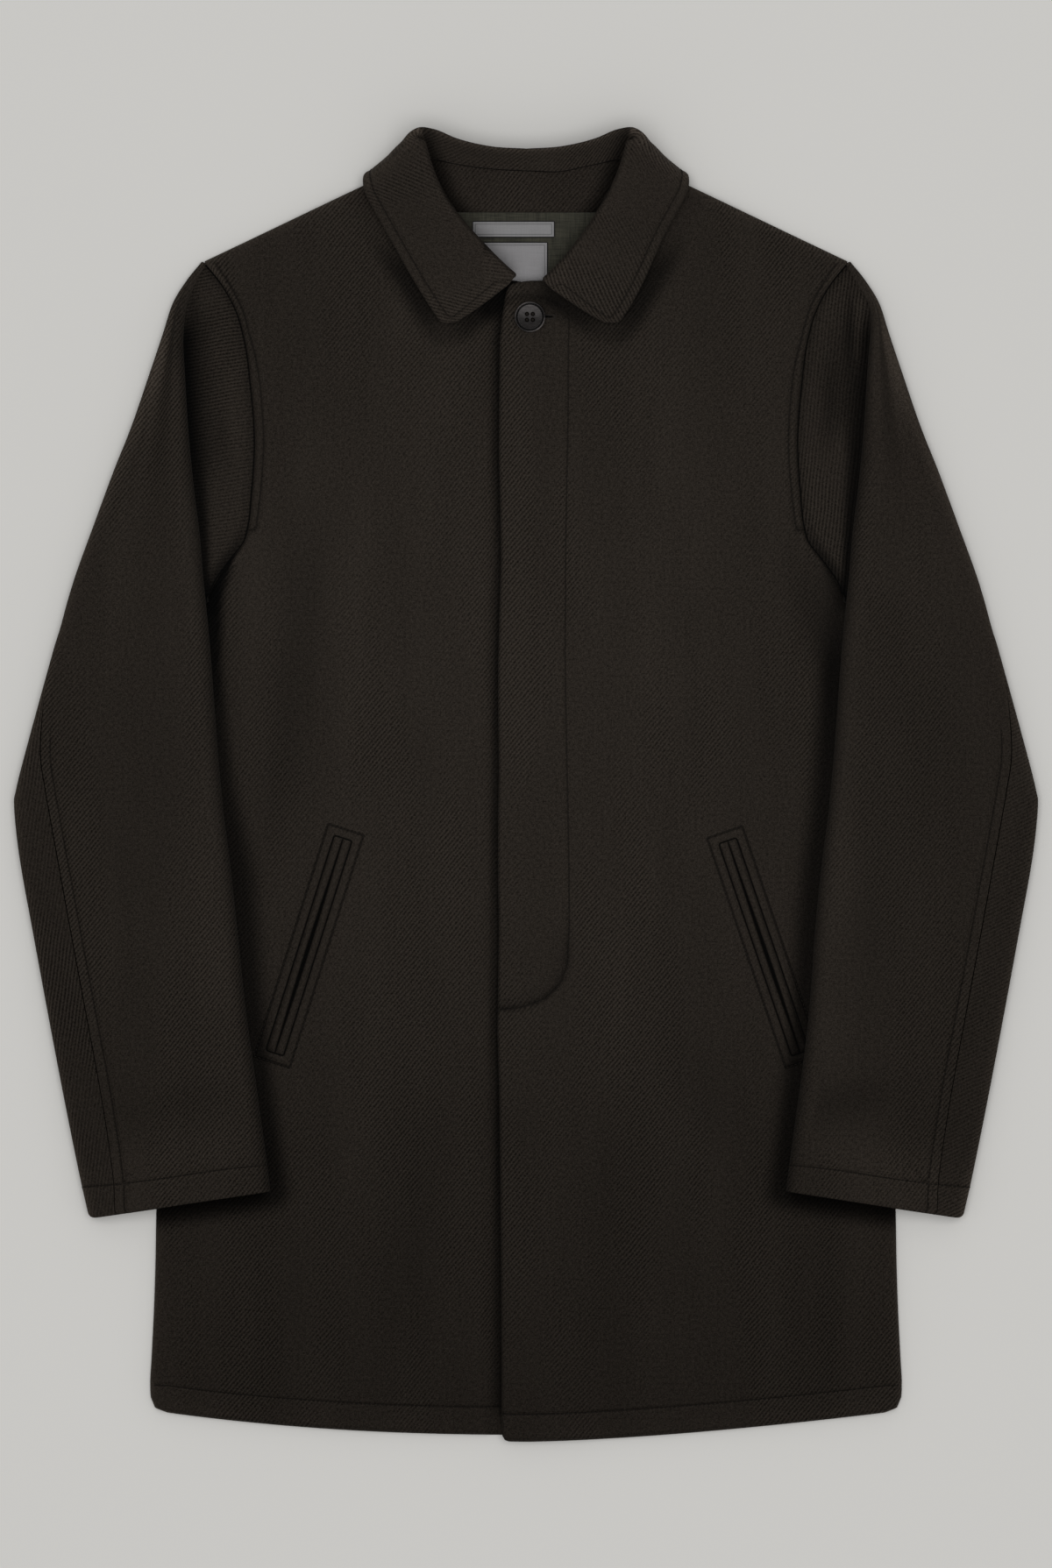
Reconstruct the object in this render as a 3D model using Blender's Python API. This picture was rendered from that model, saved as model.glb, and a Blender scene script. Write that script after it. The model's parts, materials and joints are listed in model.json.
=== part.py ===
"""A single-breasted fly-front mackintosh in heavy twill, buttoned and laid out flat on its back.

The floor is z = 0 and the hem points to -Y. Left and right are the wearer's, so right is at -X.
All sizes are millimetres until a mesh is made. Each side is worked out at +X and mirrored for the right.
"""

import bmesh
import bpy
import numpy as np

METRES = 0.001
SEAM_GAP = 0.3

# Cloth thicknesses
BACK_CLOTH = 2.2
FRONT_CLOTH = 2.4
SLEEVE_CLOTH = 2.2
COLLAR_CLOTH = 2.6
FACING_CLOTH = 2.0
LINING_CLOTH = 1.0
LABEL_CLOTH = 1.0

# Body outline: a straight shoulder from the neck to the tip, then armhole and side as (y, half width)
SHOULDER_NECK = (87.0, 445.0)
SHOULDER_TIP = (232.0, 376.0)
BODY_SIDE = [
    (376, 232.0), (359, 218.5), (342, 209.0), (318, 202.0), (288, 198.0), (244, 195.0), (210, 197.0),
    (184, 200.0), (174, 203.0), (164, 211.0), (144, 226.0), (133, 230.5), (120, 236.0), (95, 242.0),
    (0, 250.0), (-150, 259.0), (-310, 266.5), (-432, 270.3), (-441, 269.5), (-447, 266.5), (-450.5, 258.0),
]
ARMHOLE_TOP = 350.0
ARMHOLE_FOOT = 165.0
UNDERARM = 125.0

# Body heights over the floor: the fronts lie on the back, which rises over the collar at the neck
BODY_TOP = 8.4
NECK_LIFT = 3.2
LIFT_FROM = 392.0
LIFT_TO = 421.0
EDGE_ROLL = 6.0
HEM_ROLL = 5.0
FOLD_ROLL = 3.0
ROLL_SHARE = 0.4
FOLD_SHARE = 0.2

# Front edges: (y, half width) from the neck point to the front edge, past the centre line
NECKLINE = [(446, 87.5), (434, 83.0), (422, 77.0), (397, 60.0), (375, 35.0)]
RIGHT_EDGE = [(363, 13.0), (359, -8.0), (352, -18.0), (340, -22.0), (-480, -22.0)]
LEFT_EDGE = [(362, 13.0), (359.5, -10.0), (355, -14.0), (346, -16.3), (330, -17.6), (-480, -17.0)]
UNDERLAP_DIP = 1.6
UNDERLAP_RAMP = (18.0, 36.0)
UNDERLAP_TOP = (335.0, 355.0)
UNDERLAP_EASE = 0.4
FLY_RISE = 2.8
FLY_RAMP = (28.0, 66.0)

# Hem: where it starts to curve, its height at the side, and its drop towards the front edge
HEM_START = -300.0
HEM_SIDE = -450.5
HEM_SIDE_WIDTH = 258.0
RIGHT_HEM_DROP = 16.5
RIGHT_HEM_POWER = 2.2
LEFT_HEM_DROP = 21.5
LEFT_HEM_POWER = 1.5
BACK_HEM_RISE = 9.0

# Soft folds of the fronts: half width and y at the upper end, the same at the lower end, half breadth, height
FRONT_FOLDS = [
    (150, 330, 120, 120, 34, 1.0),
    (180, 60, 215, -330, 40, 1.1),
    (95, 40, 80, -420, 36, 0.8),
]
FOLD_FADE = 60.0

# Sleeve, a row for each section from the shoulder tip to the cuff
SLEEVE_COLUMNS = "outer_x outer_y crest_x crest_y arm_y seam loft ridge cap".split()
SLEEVE = [
    (234.0, 374.0, 231.8, 372.8, 373, -9.0, 3.6, 0.0, 1),
    (244.0, 362.5, 236.5, 359.5, 359, -9.0, 6.4, 0.5, 1),
    (254.0, 346.0, 240.5, 341.0, 339, -9.0, 7.4, 1.6, 1),
    (261.0, 324.5, 245.0, 319.0, 316, -9.0, 8.0, 3.0, 1),
    (270.5, 296.0, 246.5, 292.0, 287, -9.0, 8.2, 4.5, 1),
    (283.5, 258.0, 242.5, 254.0, 249, -9.0, 8.2, 5.2, 1),
    (297.0, 224.0, 239.0, 217.0, 214, -9.0, 8.2, 5.2, 1),
    (311.0, 186.0, 234.5, 180.0, 181, -6.0, 8.2, 4.6, 1),
    (322.5, 154.5, 232.0, 150.0, 155, -5.0, 8.2, 3.6, 1),
    (329.0, 134.0, 230.0, 131.0, 142, -3.6, 8.2, 2.6, 0.6),
    (335.0, 112.0, 227.5, 106.0, 140, -2.0, 8.2, 1.8, 0),
    (340.5, 94.0, 226.0, 88.0, 150, 0.5, 8.2, 1.4, 0),
    (358.5, 28.5, 223.0, 23.0, 150, 13.0, 8.2, 0.8, 0),
    (366.5, -3.0, 220.0, -9.0, 150, 24.5, 8.2, 0.6, 0),
    (368.0, -17.0, 218.0, -25.0, 150, 28.5, 8.2, 0.6, 0),
    (364.0, -54.0, 213.0, -57.0, 150, 31.0, 8.2, 0.6, 0),
    (355.0, -104.0, 206.0, -105.0, 150, 31.0, 8.2, 0.6, 0),
    (344.5, -161.0, 198.5, -159.0, 150, 31.0, 8.2, 0.6, 0),
    (332.5, -224.0, 190.5, -217.0, 150, 30.5, 8.2, 0.6, 0),
    (321.0, -281.0, 184.5, -271.0, 150, 27.5, 8.2, 0.6, 0),
    (314.5, -309.0, 183.5, -289.0, 150, 22.0, 8.2, 0.6, 0),
]
SECTIONS_BETWEEN = [0.5, 1.5, 2.5, 6.5, 7.5, 8.5, 9.5, 11.25, 11.5, 11.75]
SLEEVE_LOFT = 8.2
THIN_POWER = 1.5
SLEEVE_REST = 0.5
SLEEVE_LEAVES = (122.0, 150.0)
ROUND_SHARE = 0.45
CREST_SHARE = 0.5
SEAM_LIMIT = 0.4
RIDGE_REACH = (0.35, 0.95)
EDGE_PAST = 1.5
EDGE_LEAST = 5.0
EDGE_SHARE = 0.8
UPPER_RAMP = 60.0
UNDER_RAMP = 30.0
RAMP_INSIDE = 4.0
CAP_EDGE = 7.0
VALLEY_PULL = 6.0
VALLEY_REACH = (20.0, 50.0)
VALLEY_SET = 0.08
CREST_LEAD = 4.0
TURN_UNDER = 1.6
UNDERARM_EASE = 14.0
BACK_ARM_GAP = 0.42

# Under sleeve: how far its flat starts past the roll, and its columns at the foot and head of the body's edge
PAST_ROLL = 2.5
PAST_SHARE = 0.3
FOOT_COLUMN = 0.4
HEAD_COLUMN = 0.7
FOOT_LIMITS = (0.1, 0.8)
HEAD_LIMITS = (0.3, 0.95)

# Collar, a row for each section from the centre back to the front end
COLLAR_COLUMNS = "station neck_x neck_y roll_x roll_y roll_z out edge_x edge_y edge_z under".split()
COLLAR = [
    (0.00, 0.0, 440.4, 0.0, 453.6, 24.5, 90, 0.0, 427.8, 0.0, 1.0),
    (0.14, 25.2, 441.2, 25.2, 454.9, 25.0, 88, 27.7, 427.0, 0.0, 1.0),
    (0.28, 50.4, 443.4, 49.8, 459.9, 27.0, 83, 58.0, 426.0, 0.0, 1.0),
    (0.38, 66.8, 445.6, 63.6, 465.3, 29.5, 68, 86.0, 426.0, 0.0, 1.0),
    (0.44, 76.0, 446.5, 71.0, 467.6, 30.6, 45, 104.0, 432.0, 0.0, 0.9),
    (0.49, 82.0, 444.5, 75.5, 466.0, 31.2, 15, 116.0, 438.0, 1.5, 0.5),
    (0.54, 83.0, 439.5, 76.0, 461.5, 31.0, -12, 118.0, 434.5, 9.0, 0.0),
    (0.60, 81.0, 431.5, 73.5, 449.5, 29.8, -23, 115.0, 426.0, 0.0, 0.0),
    (0.68, 74.5, 417.0, 67.0, 431.5, 27.5, -28, 108.0, 412.5, 0.0, 0.0),
    (0.78, 61.0, 398.5, 54.0, 409.5, 24.8, -32, 94.0, 387.5, 0.0, 0.0),
    (0.89, 39.0, 379.0, 34.0, 386.5, 21.8, -41, 76.5, 357.5, 0.0, 0.0),
    (0.95, 23.0, 369.4, 21.5, 374.7, 20.1, -49, 65.0, 339.5, 0.0, 0.0),
    (0.975, 15.5, 365.6, 15.7, 369.7, 19.3, -52, 60.0, 332.8, 0.0, 0.0),
    (1.00, 8.0, 362.4, 10.0, 365.0, 18.6, -54, 51.0, 332.2, 0.0, 0.0),
]
ROLL_RADIUS = 4.6
FALL_LEAVES_AT = 60.0
NECK_REST = 1.3
STAND_REST = 2.0
FALL_REST = 0.9
OVER_FRONT = (0.50, 0.58)
# Way from roll to edge, and share of the height left there, at two places down the fall
FALL_UPPER = (0.40, 0.62)
FALL_LOWER = (0.72, 0.24)
# Behind the neck the fall drops close to the stand and turns under the back
DROP_REACH = 0.85
DROP_HEIGHT = 7.5
TURN_HEIGHT = 0.6
TURN_WAY = 0.2

# Back: how far it lies inside the rolled side, shoulder tip and shoulder seam, and its rows down the side
BACK_INSET = 3.2
BACK_TIP_INSET = 8.0
BACK_SHOULDER_INSET = 3.6
BACK_NECK = 1.0
BACK_ROWS = [339, 316, 287, 249, 214, 190, 181, 170, 160, 144, 133, 120, 95, 0, -150, -300, -380, -432]

# Inside the neck
NECK_SEAM = (440.4, 5.0, 66.0)
FACING_HALF = 79.0
FACING_FOOT = 411.5
FACING_HEAD = 0.5
LINING_HALF = 66.0
LINING_FOOT = 345.0
LABEL_SMALL = (-38.0, 20.0, 394.0, 404.5)
LABEL_LARGE = (-32.5, 15.0, 356.0, 389.5)

# Pockets: (half width, y) of the slit's upper and lower end, and the welt's section
POCKET_RIGHT = ((131.7, -39.4), (180.4, -192.5))
POCKET_LEFT = ((145.2, -41.3), (197.0, -192.5))
WELT_WIDTH = 5.8
WELT_HEIGHT = 1.7
WELT_SIDE = 0.5
SLIT = 1.0
SLIT_GAPE = 1.4
POCKET_BUMP = (188.0, -186.0, 46.0, 2.4)

# Button
BUTTON_CENTRE = (2.5, 335.8)
BUTTON_RADIUS = 11.5
BUTTON_HEIGHT = 3.6
RIM_WIDTH = 2.6
DISH_DEPTH = 1.1
HOLE_RADIUS = 1.0
HOLE_OFFSET = 2.5
BUTTON_SIDES = 24
BUTTON_TURN = 0.37
# Rounds of the button: (inset from the outside, height), then (inset from the rim, height over the dish)
BUTTON_OUTSIDE = [(2.2, 0.0), (0.5, 1.0), (0.0, 2.0), (0.5, BUTTON_HEIGHT - 0.4), (1.3, BUTTON_HEIGHT)]
BUTTON_DISH = [(-0.4, 0.8), (0.9, 0.2), (2.2, 0.0)]

# Mesh sections
ROLL_STEPS = 3
ARM_STEP = 24.0
SKIRT_ROWS = [-420, -380, -330, -270, -200, -130, -60, 10, 70, 100, 118, 131, 143]
SHOULDER_ROWS = [348, 354, 357, 360, 362, 367, 370, 373, 376, 378, 387, 398, 409, 419, 428, 436, 443]
SIDES = {"right": -1.0, "left": 1.0}

TWILL = (0.020, 0.016, 0.013)
LINING_TINT = (0.035, 0.034, 0.026)
LABEL_TINT = (0.17, 0.17, 0.16)
HORN_TINT = (0.022, 0.020, 0.018)


def smooth(at, low, high):
    """0 below low, 1 above high, with an S-shaped rise between."""
    u = np.clip((np.asarray(at, float) - low) / (high - low), 0.0, 1.0)
    return u * u * (3.0 - 2.0 * u)


def through(knots, values, at):
    """A smooth curve through the values: cubic pieces whose slope at a knot comes from its neighbours."""
    knots = np.asarray(knots, float)
    values = np.asarray(values, float)
    slopes = np.gradient(values, knots)
    at = np.clip(at, knots[0], knots[-1])
    i = np.clip(np.searchsorted(knots, at, side="right") - 1, 0, len(knots) - 2)
    step = knots[i + 1] - knots[i]
    u = (at - knots[i]) / step
    start = (1 + 2 * u) * (1 - u) ** 2 * values[i] + u * (1 - u) ** 2 * step * slopes[i]
    return start + u * u * (3 - 2 * u) * values[i + 1] + u * u * (u - 1) * step * slopes[i + 1]


def outline(y):
    """Half width of the body at height y."""
    along = (SHOULDER_NECK[1] - y) / (SHOULDER_NECK[1] - SHOULDER_TIP[1])
    shoulder = SHOULDER_NECK[0] + along * (SHOULDER_TIP[0] - SHOULDER_NECK[0])
    rows = np.array(BODY_SIDE)
    side = through(-rows[:, 0], rows[:, 1], -np.asarray(y, float))
    return np.where(y > SHOULDER_TIP[1], shoulder, side)


def edge_slope(y):
    """How much of a step across a row counts as a step square to the outline."""
    run = SHOULDER_TIP[0] - SHOULDER_NECK[0]
    rise = SHOULDER_NECK[1] - SHOULDER_TIP[1]
    return np.where(y > SHOULDER_TIP[1], rise / np.hypot(run, rise), 1.0)


def rolled(y):
    """1 where the outline rolls down to the floor, 0 along the armhole seam."""
    return np.maximum(smooth(y, ARMHOLE_TOP, SHOULDER_TIP[1]), 1.0 - smooth(y, UNDERARM, ARMHOLE_FOOT))


def lift(y):
    """Rise of the whole body over the collar fall at the back of the neck."""
    return NECK_LIFT * smooth(y, LIFT_FROM, LIFT_TO)


def front_top(side, x, y):
    """Height of a front's outer face away from its edges."""
    z = BODY_TOP + lift(y)
    for x0, y0, x1, y1, breadth, height in FRONT_FOLDS:
        along = np.clip((y0 - y) / (y0 - y1), 0.0, 1.0)
        away = (x - x0 - along * (x1 - x0)) / breadth
        fade = smooth(y, y1 - FOLD_FADE, y1 + FOLD_FADE) * (1.0 - smooth(y, y0 - FOLD_FADE, y0 + FOLD_FADE))
        z = z + height * fade * np.exp(-away * away)
    if side == "left":
        return z + FLY_RISE * (1.0 - smooth(x, *FLY_RAMP))
    ease = 1.0 - UNDERLAP_EASE * smooth(y, *UNDERLAP_TOP)
    return z - UNDERLAP_DIP * (1.0 - smooth(x, *UNDERLAP_RAMP)) * ease


def hem(side, x):
    """Height of a front's hem line at half width x."""
    drop, power = {"right": (RIGHT_HEM_DROP, RIGHT_HEM_POWER), "left": (LEFT_HEM_DROP, LEFT_HEM_POWER)}[side]
    return HEM_SIDE - drop * (1.0 - np.clip(x / HEM_SIDE_WIDTH, 0.0, 1.0) ** power)


def front_surface(side, across, row):
    """Outer face of a front.

    across runs 0 to 1 over the rolled outer edge, 1 to 2 over the panel and 2 to 3 over the front fold;
    row is the height at the side seam, and rows bend to the hem curve below HEM_START.
    """
    edge = np.array(NECKLINE + {"right": RIGHT_EDGE, "left": LEFT_EDGE}[side])
    inner = np.interp(-row, -edge[:, 0], edge[:, 1])
    outer = outline(row)
    width = outer - inner
    roll = np.minimum(EDGE_ROLL / edge_slope(row), ROLL_SHARE * width)
    fold = np.minimum(FOLD_ROLL, FOLD_SHARE * width)
    turn = np.clip(across, 0.0, 1.0) * np.pi / 2
    tuck = np.clip(across - 2.0, 0.0, 1.0) * np.pi / 2
    plain = np.clip(across - 1.0, 0.0, 1.0)
    x = outer - roll * (1 - np.cos(turn)) - plain * (width - roll - fold) - fold * np.sin(tuck)
    down = np.clip((HEM_START - row) / (HEM_START - HEM_SIDE), 0.0, 1.0)
    y = np.where(row > HEM_START, row, HEM_START - down * (HEM_START - hem(side, x)))
    rise = front_top(side, x, y) - lift(y)
    rise = rise * (1.0 - rolled(row) * (1.0 - np.sin(turn)))
    to_hem = np.clip((y - hem(side, x)) / HEM_ROLL, 0.0, 1.0)
    rise = rise * np.sqrt(1.0 - (1.0 - to_hem) ** 2)
    if side == "left":
        rise = rise - fold * (1 - np.cos(tuck)) * np.sqrt(1.0 - (1.0 - to_hem) ** 2)
    return np.stack([x, y, lift(y) + rise], -1)


def sleeve_rows(along):
    """The sleeve table read at section numbers along, as a dictionary of columns."""
    rows = np.array(SLEEVE, float)
    return {name: through(np.arange(len(rows)), rows[:, i], along) for i, name in enumerate(SLEEVE_COLUMNS)}


def sleeve_sections():
    """Section numbers of the sleeve's mesh from the cuff to the shoulder: each row, and some between."""
    return np.sort(np.concatenate([np.arange(0.0, len(SLEEVE)), SECTIONS_BETWEEN]))[::-1]


def sleeve_base(side, x, y, ramp):
    """Height that the sleeve rests at: the floor outside the body, the front's top over it."""
    over = smooth(outline(y) - x, -ramp, RAMP_INSIDE) * (1.0 - smooth(y, *SLEEVE_LEAVES))
    rest = front_top(side, np.minimum(x, outline(y)), y) + SLEEVE_REST
    if side == "left":
        px, py, reach, height = POCKET_BUMP
        rest = rest + height * np.exp(-((x - px) ** 2 + (y - py) ** 2) / reach ** 2)
    return over * rest


def sleeve_frame(along):
    """Row values with the plan direction across, the width to the crest and the roll radius."""
    r = sleeve_rows(along)
    dx = r["crest_x"] - r["outer_x"]
    dy = r["crest_y"] - r["outer_y"]
    r["width"] = np.hypot(dx, dy)
    r["dir_x"] = dx / r["width"]
    r["dir_y"] = dy / r["width"]
    r["radius"] = np.minimum(r["loft"] / 2, ROUND_SHARE * r["width"])
    r["crest_radius"] = np.minimum((r["loft"] + r["ridge"]) / 2, CREST_SHARE * r["width"])
    r["seam"] = np.maximum(r["seam"], -r["radius"] * np.pi / 2 - SEAM_LIMIT)
    return r


def sleeve_round(side, r, arc):
    """Outer face at arc length from the outer edge: positive over the top, negative underneath."""
    quarter = r["radius"] * np.pi / 2
    angle = np.clip(arc / r["radius"], -np.pi / 2, np.pi / 2)
    beyond = np.maximum(np.abs(arc) - quarter, 0.0)
    u = r["radius"] * (1 - np.cos(angle)) + beyond
    x = r["outer_x"] + r["dir_x"] * u
    y = r["outer_y"] + r["dir_y"] * u
    upper = smooth(np.sin(angle), -1.0, 1.0)
    base = upper * sleeve_base(side, x, y, UPPER_RAMP) + (1 - upper) * sleeve_base(side, x, y, UNDER_RAMP)
    rise = r["radius"] * (1 + np.sin(angle))
    ridge = r["ridge"] * smooth(u / r["width"], *RIDGE_REACH) * (arc > 0)
    return np.stack([x, y, base + rise + ridge + (r["loft"] - 2 * r["radius"]) * upper], -1)


def top_sleeve_surface(side, across, along):
    """Outer face of the top sleeve.

    across runs 0 to 0.5 from the back-arm seam over the outer edge, 0.5 to 1 on to the crest, and 1 to 2 over
    the crest, into the armhole or, below the underarm, turned under.
    """
    r = sleeve_frame(along)
    start = r["seam"] + BACK_ARM_GAP
    stop = r["radius"] * np.pi / 2 + r["width"] - r["crest_radius"] - r["radius"]
    edge = np.maximum(r["radius"] * np.pi / 2 + EDGE_PAST - start, EDGE_LEAST)
    edge = np.minimum(edge, EDGE_SHARE * (stop - start))
    flat = np.clip(across * 2 - 1.0, 0.0, 1.0)
    arc = start + edge * np.clip(across * 2, 0.0, 1.0) + (stop - start - edge) * flat
    upper = sleeve_round(side, r, arc)
    p0 = sleeve_round(side, r, stop)
    crest = np.stack([r["crest_x"], r["crest_y"]], -1)
    ahead = np.stack([r["dir_x"], r["dir_y"]], -1)
    radius = r["crest_radius"][..., None]
    cap = np.clip(r["cap"], 0.0, 1.0)[..., None]
    hole = np.stack([outline(r["arm_y"]) + SEAM_GAP, r["arm_y"]], -1)
    base = sleeve_base(side, r["crest_x"], r["crest_y"], UNDER_RAMP)
    top = p0[..., 2:]
    p1 = np.concatenate([crest + ahead * (radius / 3 * (1 - cap) + CREST_LEAD * cap), top], -1)
    valley = CAP_EDGE - VALLEY_PULL * smooth(np.hypot(*np.moveaxis(hole - crest, -1, 0)), *VALLEY_REACH)
    low = base[..., None] * (1 - cap) + valley[..., None] * cap
    p2 = np.concatenate([crest + ahead * radius / 3 * (1 - cap) + cap * VALLEY_SET * (hole - crest), low], -1)
    turned = crest - ahead * radius * TURN_UNDER
    under = sleeve_base(side, turned[..., 0], turned[..., 1], UNDER_RAMP)[..., None]
    p3 = np.concatenate([turned * (1 - cap) + hole * cap, under * (1 - cap) + CAP_EDGE * cap], -1)
    w = np.clip(across - 1.0, 0.0, 1.0)[..., None]
    lower = p0 * (1 - w) ** 3 + 3 * p1 * w * (1 - w) ** 2 + 3 * p2 * w * w * (1 - w) + p3 * w ** 3
    return np.where(across[..., None] <= 1.0, upper, lower)


def under_sleeve_surface(side, across, along):
    """Outer face of the under sleeve: 0 to 1 from the back-arm seam round the edge, 1 to 2 on underneath."""
    r = sleeve_frame(along)
    start = r["seam"] - BACK_ARM_GAP
    stop = -r["radius"] * np.pi / 2 - np.minimum(PAST_ROLL, PAST_SHARE * r["width"])
    edge = sleeve_round(side, r, start + (stop - start) * np.clip(across, 0.0, 1.0))
    first = sleeve_round(side, r, stop)
    cap = np.clip(r["cap"], 0.0, 1.0)
    inset = r["crest_radius"] * TURN_UNDER + SEAM_GAP
    x = (r["crest_x"] - r["dir_x"] * inset) * (1 - cap) + (outline(r["arm_y"]) + 2 * SEAM_GAP) * cap
    x = x + UNDERARM_EASE * cap * (1 - cap)
    y = (r["crest_y"] - r["dir_y"] * inset) * (1 - cap) + r["arm_y"] * cap
    reach = first[..., 0] - x
    body = outline(y)
    foot = np.clip((first[..., 0] - body - UNDER_RAMP) / reach, *FOOT_LIMITS)
    foot = foot * (1 - cap) + FOOT_COLUMN * cap
    head = np.clip((first[..., 0] - body + RAMP_INSIDE + 1.0) / reach, *HEAD_LIMITS)
    head = head * (1 - cap) + HEAD_COLUMN * cap
    part = np.clip(across - 1.0, 0.0, 1.0)
    to_head = (part - FOOT_COLUMN) / (HEAD_COLUMN - FOOT_COLUMN)
    to_end = (part - HEAD_COLUMN) / (1.0 - HEAD_COLUMN)
    w = np.where(part < FOOT_COLUMN, part / FOOT_COLUMN * foot, foot + to_head * (head - foot))
    w = np.where(part > HEAD_COLUMN, head + to_end * (1 - head), w)
    px = first[..., 0] + (x - first[..., 0]) * w
    py = first[..., 1] + (y - first[..., 1]) * w
    under = np.stack([px, py, sleeve_base(side, px, py, UNDER_RAMP)], -1)
    return np.where(across[..., None] <= 1.0, edge, under)


def collar_surface(side, across, station):
    """Visible face of half the collar, from the neck seam (0) over the roll to the edge of the fall (1)."""
    rows = np.array(COLLAR, float)
    c = {n: through(rows[:, 0], rows[:, i], station) for i, n in enumerate(COLLAR_COLUMNS) if i}
    under = np.clip(c["under"], 0.0, 1.0)
    out = np.radians(c["out"])
    lead = np.stack([np.cos(out), np.sin(out), np.zeros_like(out)], -1)
    up = np.array([0.0, 0.0, 1.0])
    over = smooth(station, *OVER_FRONT)
    seat = front_top(side, c["neck_x"], c["neck_y"])
    back_seat = lift(c["neck_y"]) + BACK_CLOTH + FACING_CLOTH + 2 * SEAM_GAP
    neck_z = over * (seat + NECK_REST) + (1 - over) * (back_seat + STAND_REST)
    neck = np.stack([c["neck_x"], c["neck_y"], neck_z], -1)
    roll = np.stack([c["roll_x"], c["roll_y"], c["roll_z"]], -1)
    resting = front_top(side, c["edge_x"], c["edge_y"]) + COLLAR_CLOTH + FALL_REST
    edge_z = np.maximum(c["edge_z"], 0.0) * (1 - over) + resting * over
    edge = np.stack([c["edge_x"], c["edge_y"], edge_z], -1)
    leave = np.radians(FALL_LEAVES_AT) * (1 - under)
    fall = lead * np.cos(leave)[..., None] + up * np.sin(leave)[..., None]
    top = roll[..., 2] + ROLL_RADIUS
    w = under[..., None]
    flat_a = roll + FALL_UPPER[0] * (edge - roll)
    flat_a[..., 2] = edge_z + FALL_UPPER[1] * (top - edge_z)
    flat_b = roll + FALL_LOWER[0] * (edge - roll)
    flat_b[..., 2] = edge_z + FALL_LOWER[1] * (top - edge_z)
    drop_a = roll + lead * ROLL_RADIUS * DROP_REACH
    drop_a[..., 2] = DROP_HEIGHT
    drop_b = drop_a + TURN_WAY * (edge - drop_a)
    drop_b[..., 2] = TURN_HEIGHT
    knots = np.stack([neck, roll - lead * ROLL_RADIUS, roll + up * ROLL_RADIUS, roll + fall * ROLL_RADIUS,
                      drop_a * w + flat_a * (1 - w), drop_b * w + flat_b * (1 - w), edge], 0)
    span = np.linalg.norm(np.diff(knots, axis=0), axis=-1, keepdims=True)
    run = np.diff(knots, axis=0) / span
    inside = (run[:-1] * span[1:] + run[1:] * span[:-1]) / (span[:-1] + span[1:])
    slopes = np.concatenate([run[:1], inside, run[-1:]])
    at = np.clip(across, 0.0, 1.0) * (len(knots) - 1)
    i = np.clip(at.astype(int), 0, len(knots) - 2)
    u = (at - i)[..., None]
    pick = np.indices(i.shape)
    a, b, step = knots[(i, *pick)], knots[(i + 1, *pick)], span[(i, *pick)]
    sa, sb = slopes[(i, *pick)] * step, slopes[(i + 1, *pick)] * step
    point = (1 + 2 * u) * (1 - u) ** 2 * a + u * (1 - u) ** 2 * sa
    point = point + u * u * (3 - 2 * u) * b + u * u * (u - 1) * sb
    point[..., 2] = np.maximum(point[..., 2], 0.0)
    return point


def outward(surface, across, along, step_a, step_b):
    """Unit normals of a surface function, facing out where its grid runs anticlockwise seen from outside."""
    hand = np.sign((across[0, -1] - across[0, 0]) * (along[-1, 0] - along[0, 0]))
    a = np.clip(across, across.min() + step_a, across.max() - step_a)
    b = np.clip(along, along.min() + step_b, along.max() - step_b)
    sideways = surface(a + step_a, b) - surface(a - step_a, b)
    n = np.cross(sideways, surface(a, b + step_b) - surface(a, b - step_b))
    return hand * n / np.linalg.norm(n, axis=-1, keepdims=True)


def add_object(name, verts, faces, material, mirror=1.0):
    """A mesh object at the origin from millimetre points; the right side is the left one mirrored."""
    verts = np.array(verts, float) * METRES
    verts[:, 0] *= mirror
    mesh = bpy.data.meshes.new(name)
    mesh.from_pydata(verts.tolist(), [], faces)
    work = bmesh.new()
    work.from_mesh(mesh)
    bmesh.ops.recalc_face_normals(work, faces=work.faces)
    work.to_mesh(mesh)
    work.free()
    mesh.materials.append(material)
    mesh.polygons.foreach_set("use_smooth", [True] * len(mesh.polygons))
    obj = bpy.data.objects.new(name, mesh)
    obj.parent = coat
    bpy.context.scene.collection.objects.link(obj)
    return obj


def slab(name, outer, inner, material, mirror=1.0):
    """A closed wall between two grids of points; rims are cut the same way on both sides of a seam."""
    rows, cols = outer.shape[:2]
    count = rows * cols
    faces = []
    for i in range(rows - 1):
        for j in range(cols - 1):
            a, b, c, d = i * cols + j, i * cols + j + 1, (i + 1) * cols + j + 1, (i + 1) * cols + j
            faces.append((a, b, c, d))
            faces.append((d + count, c + count, b + count, a + count))
    rim = [j for j in range(cols)]
    rim += [i * cols + cols - 1 for i in range(1, rows)]
    rim += [(rows - 1) * cols + j for j in range(cols - 2, -1, -1)]
    rim += [i * cols for i in range(rows - 2, 0, -1)]
    for pair in zip(rim, rim[1:] + rim[:1]):
        low, high = min(pair), max(pair)
        faces.append((low, high, high + count))
        faces.append((low, high + count, low + count))
    verts = np.concatenate([outer.reshape(-1, 3), inner.reshape(-1, 3)])
    return add_object(name, verts, faces, material, mirror)


def wall(name, surface, across, along, thickness, material, mirror, step_b):
    """A cloth wall on the inner side of a surface function."""
    a, b = np.meshgrid(np.array(across, float), np.array(along, float))
    outer = surface(a, b)
    inner = outer - outward(surface, a, b, 0.02, step_b) * np.reshape(thickness, (-1, 1, 1))
    inner[..., 2] = np.maximum(inner[..., 2], 0.0)
    return slab(name, outer, inner, material, mirror)


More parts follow.
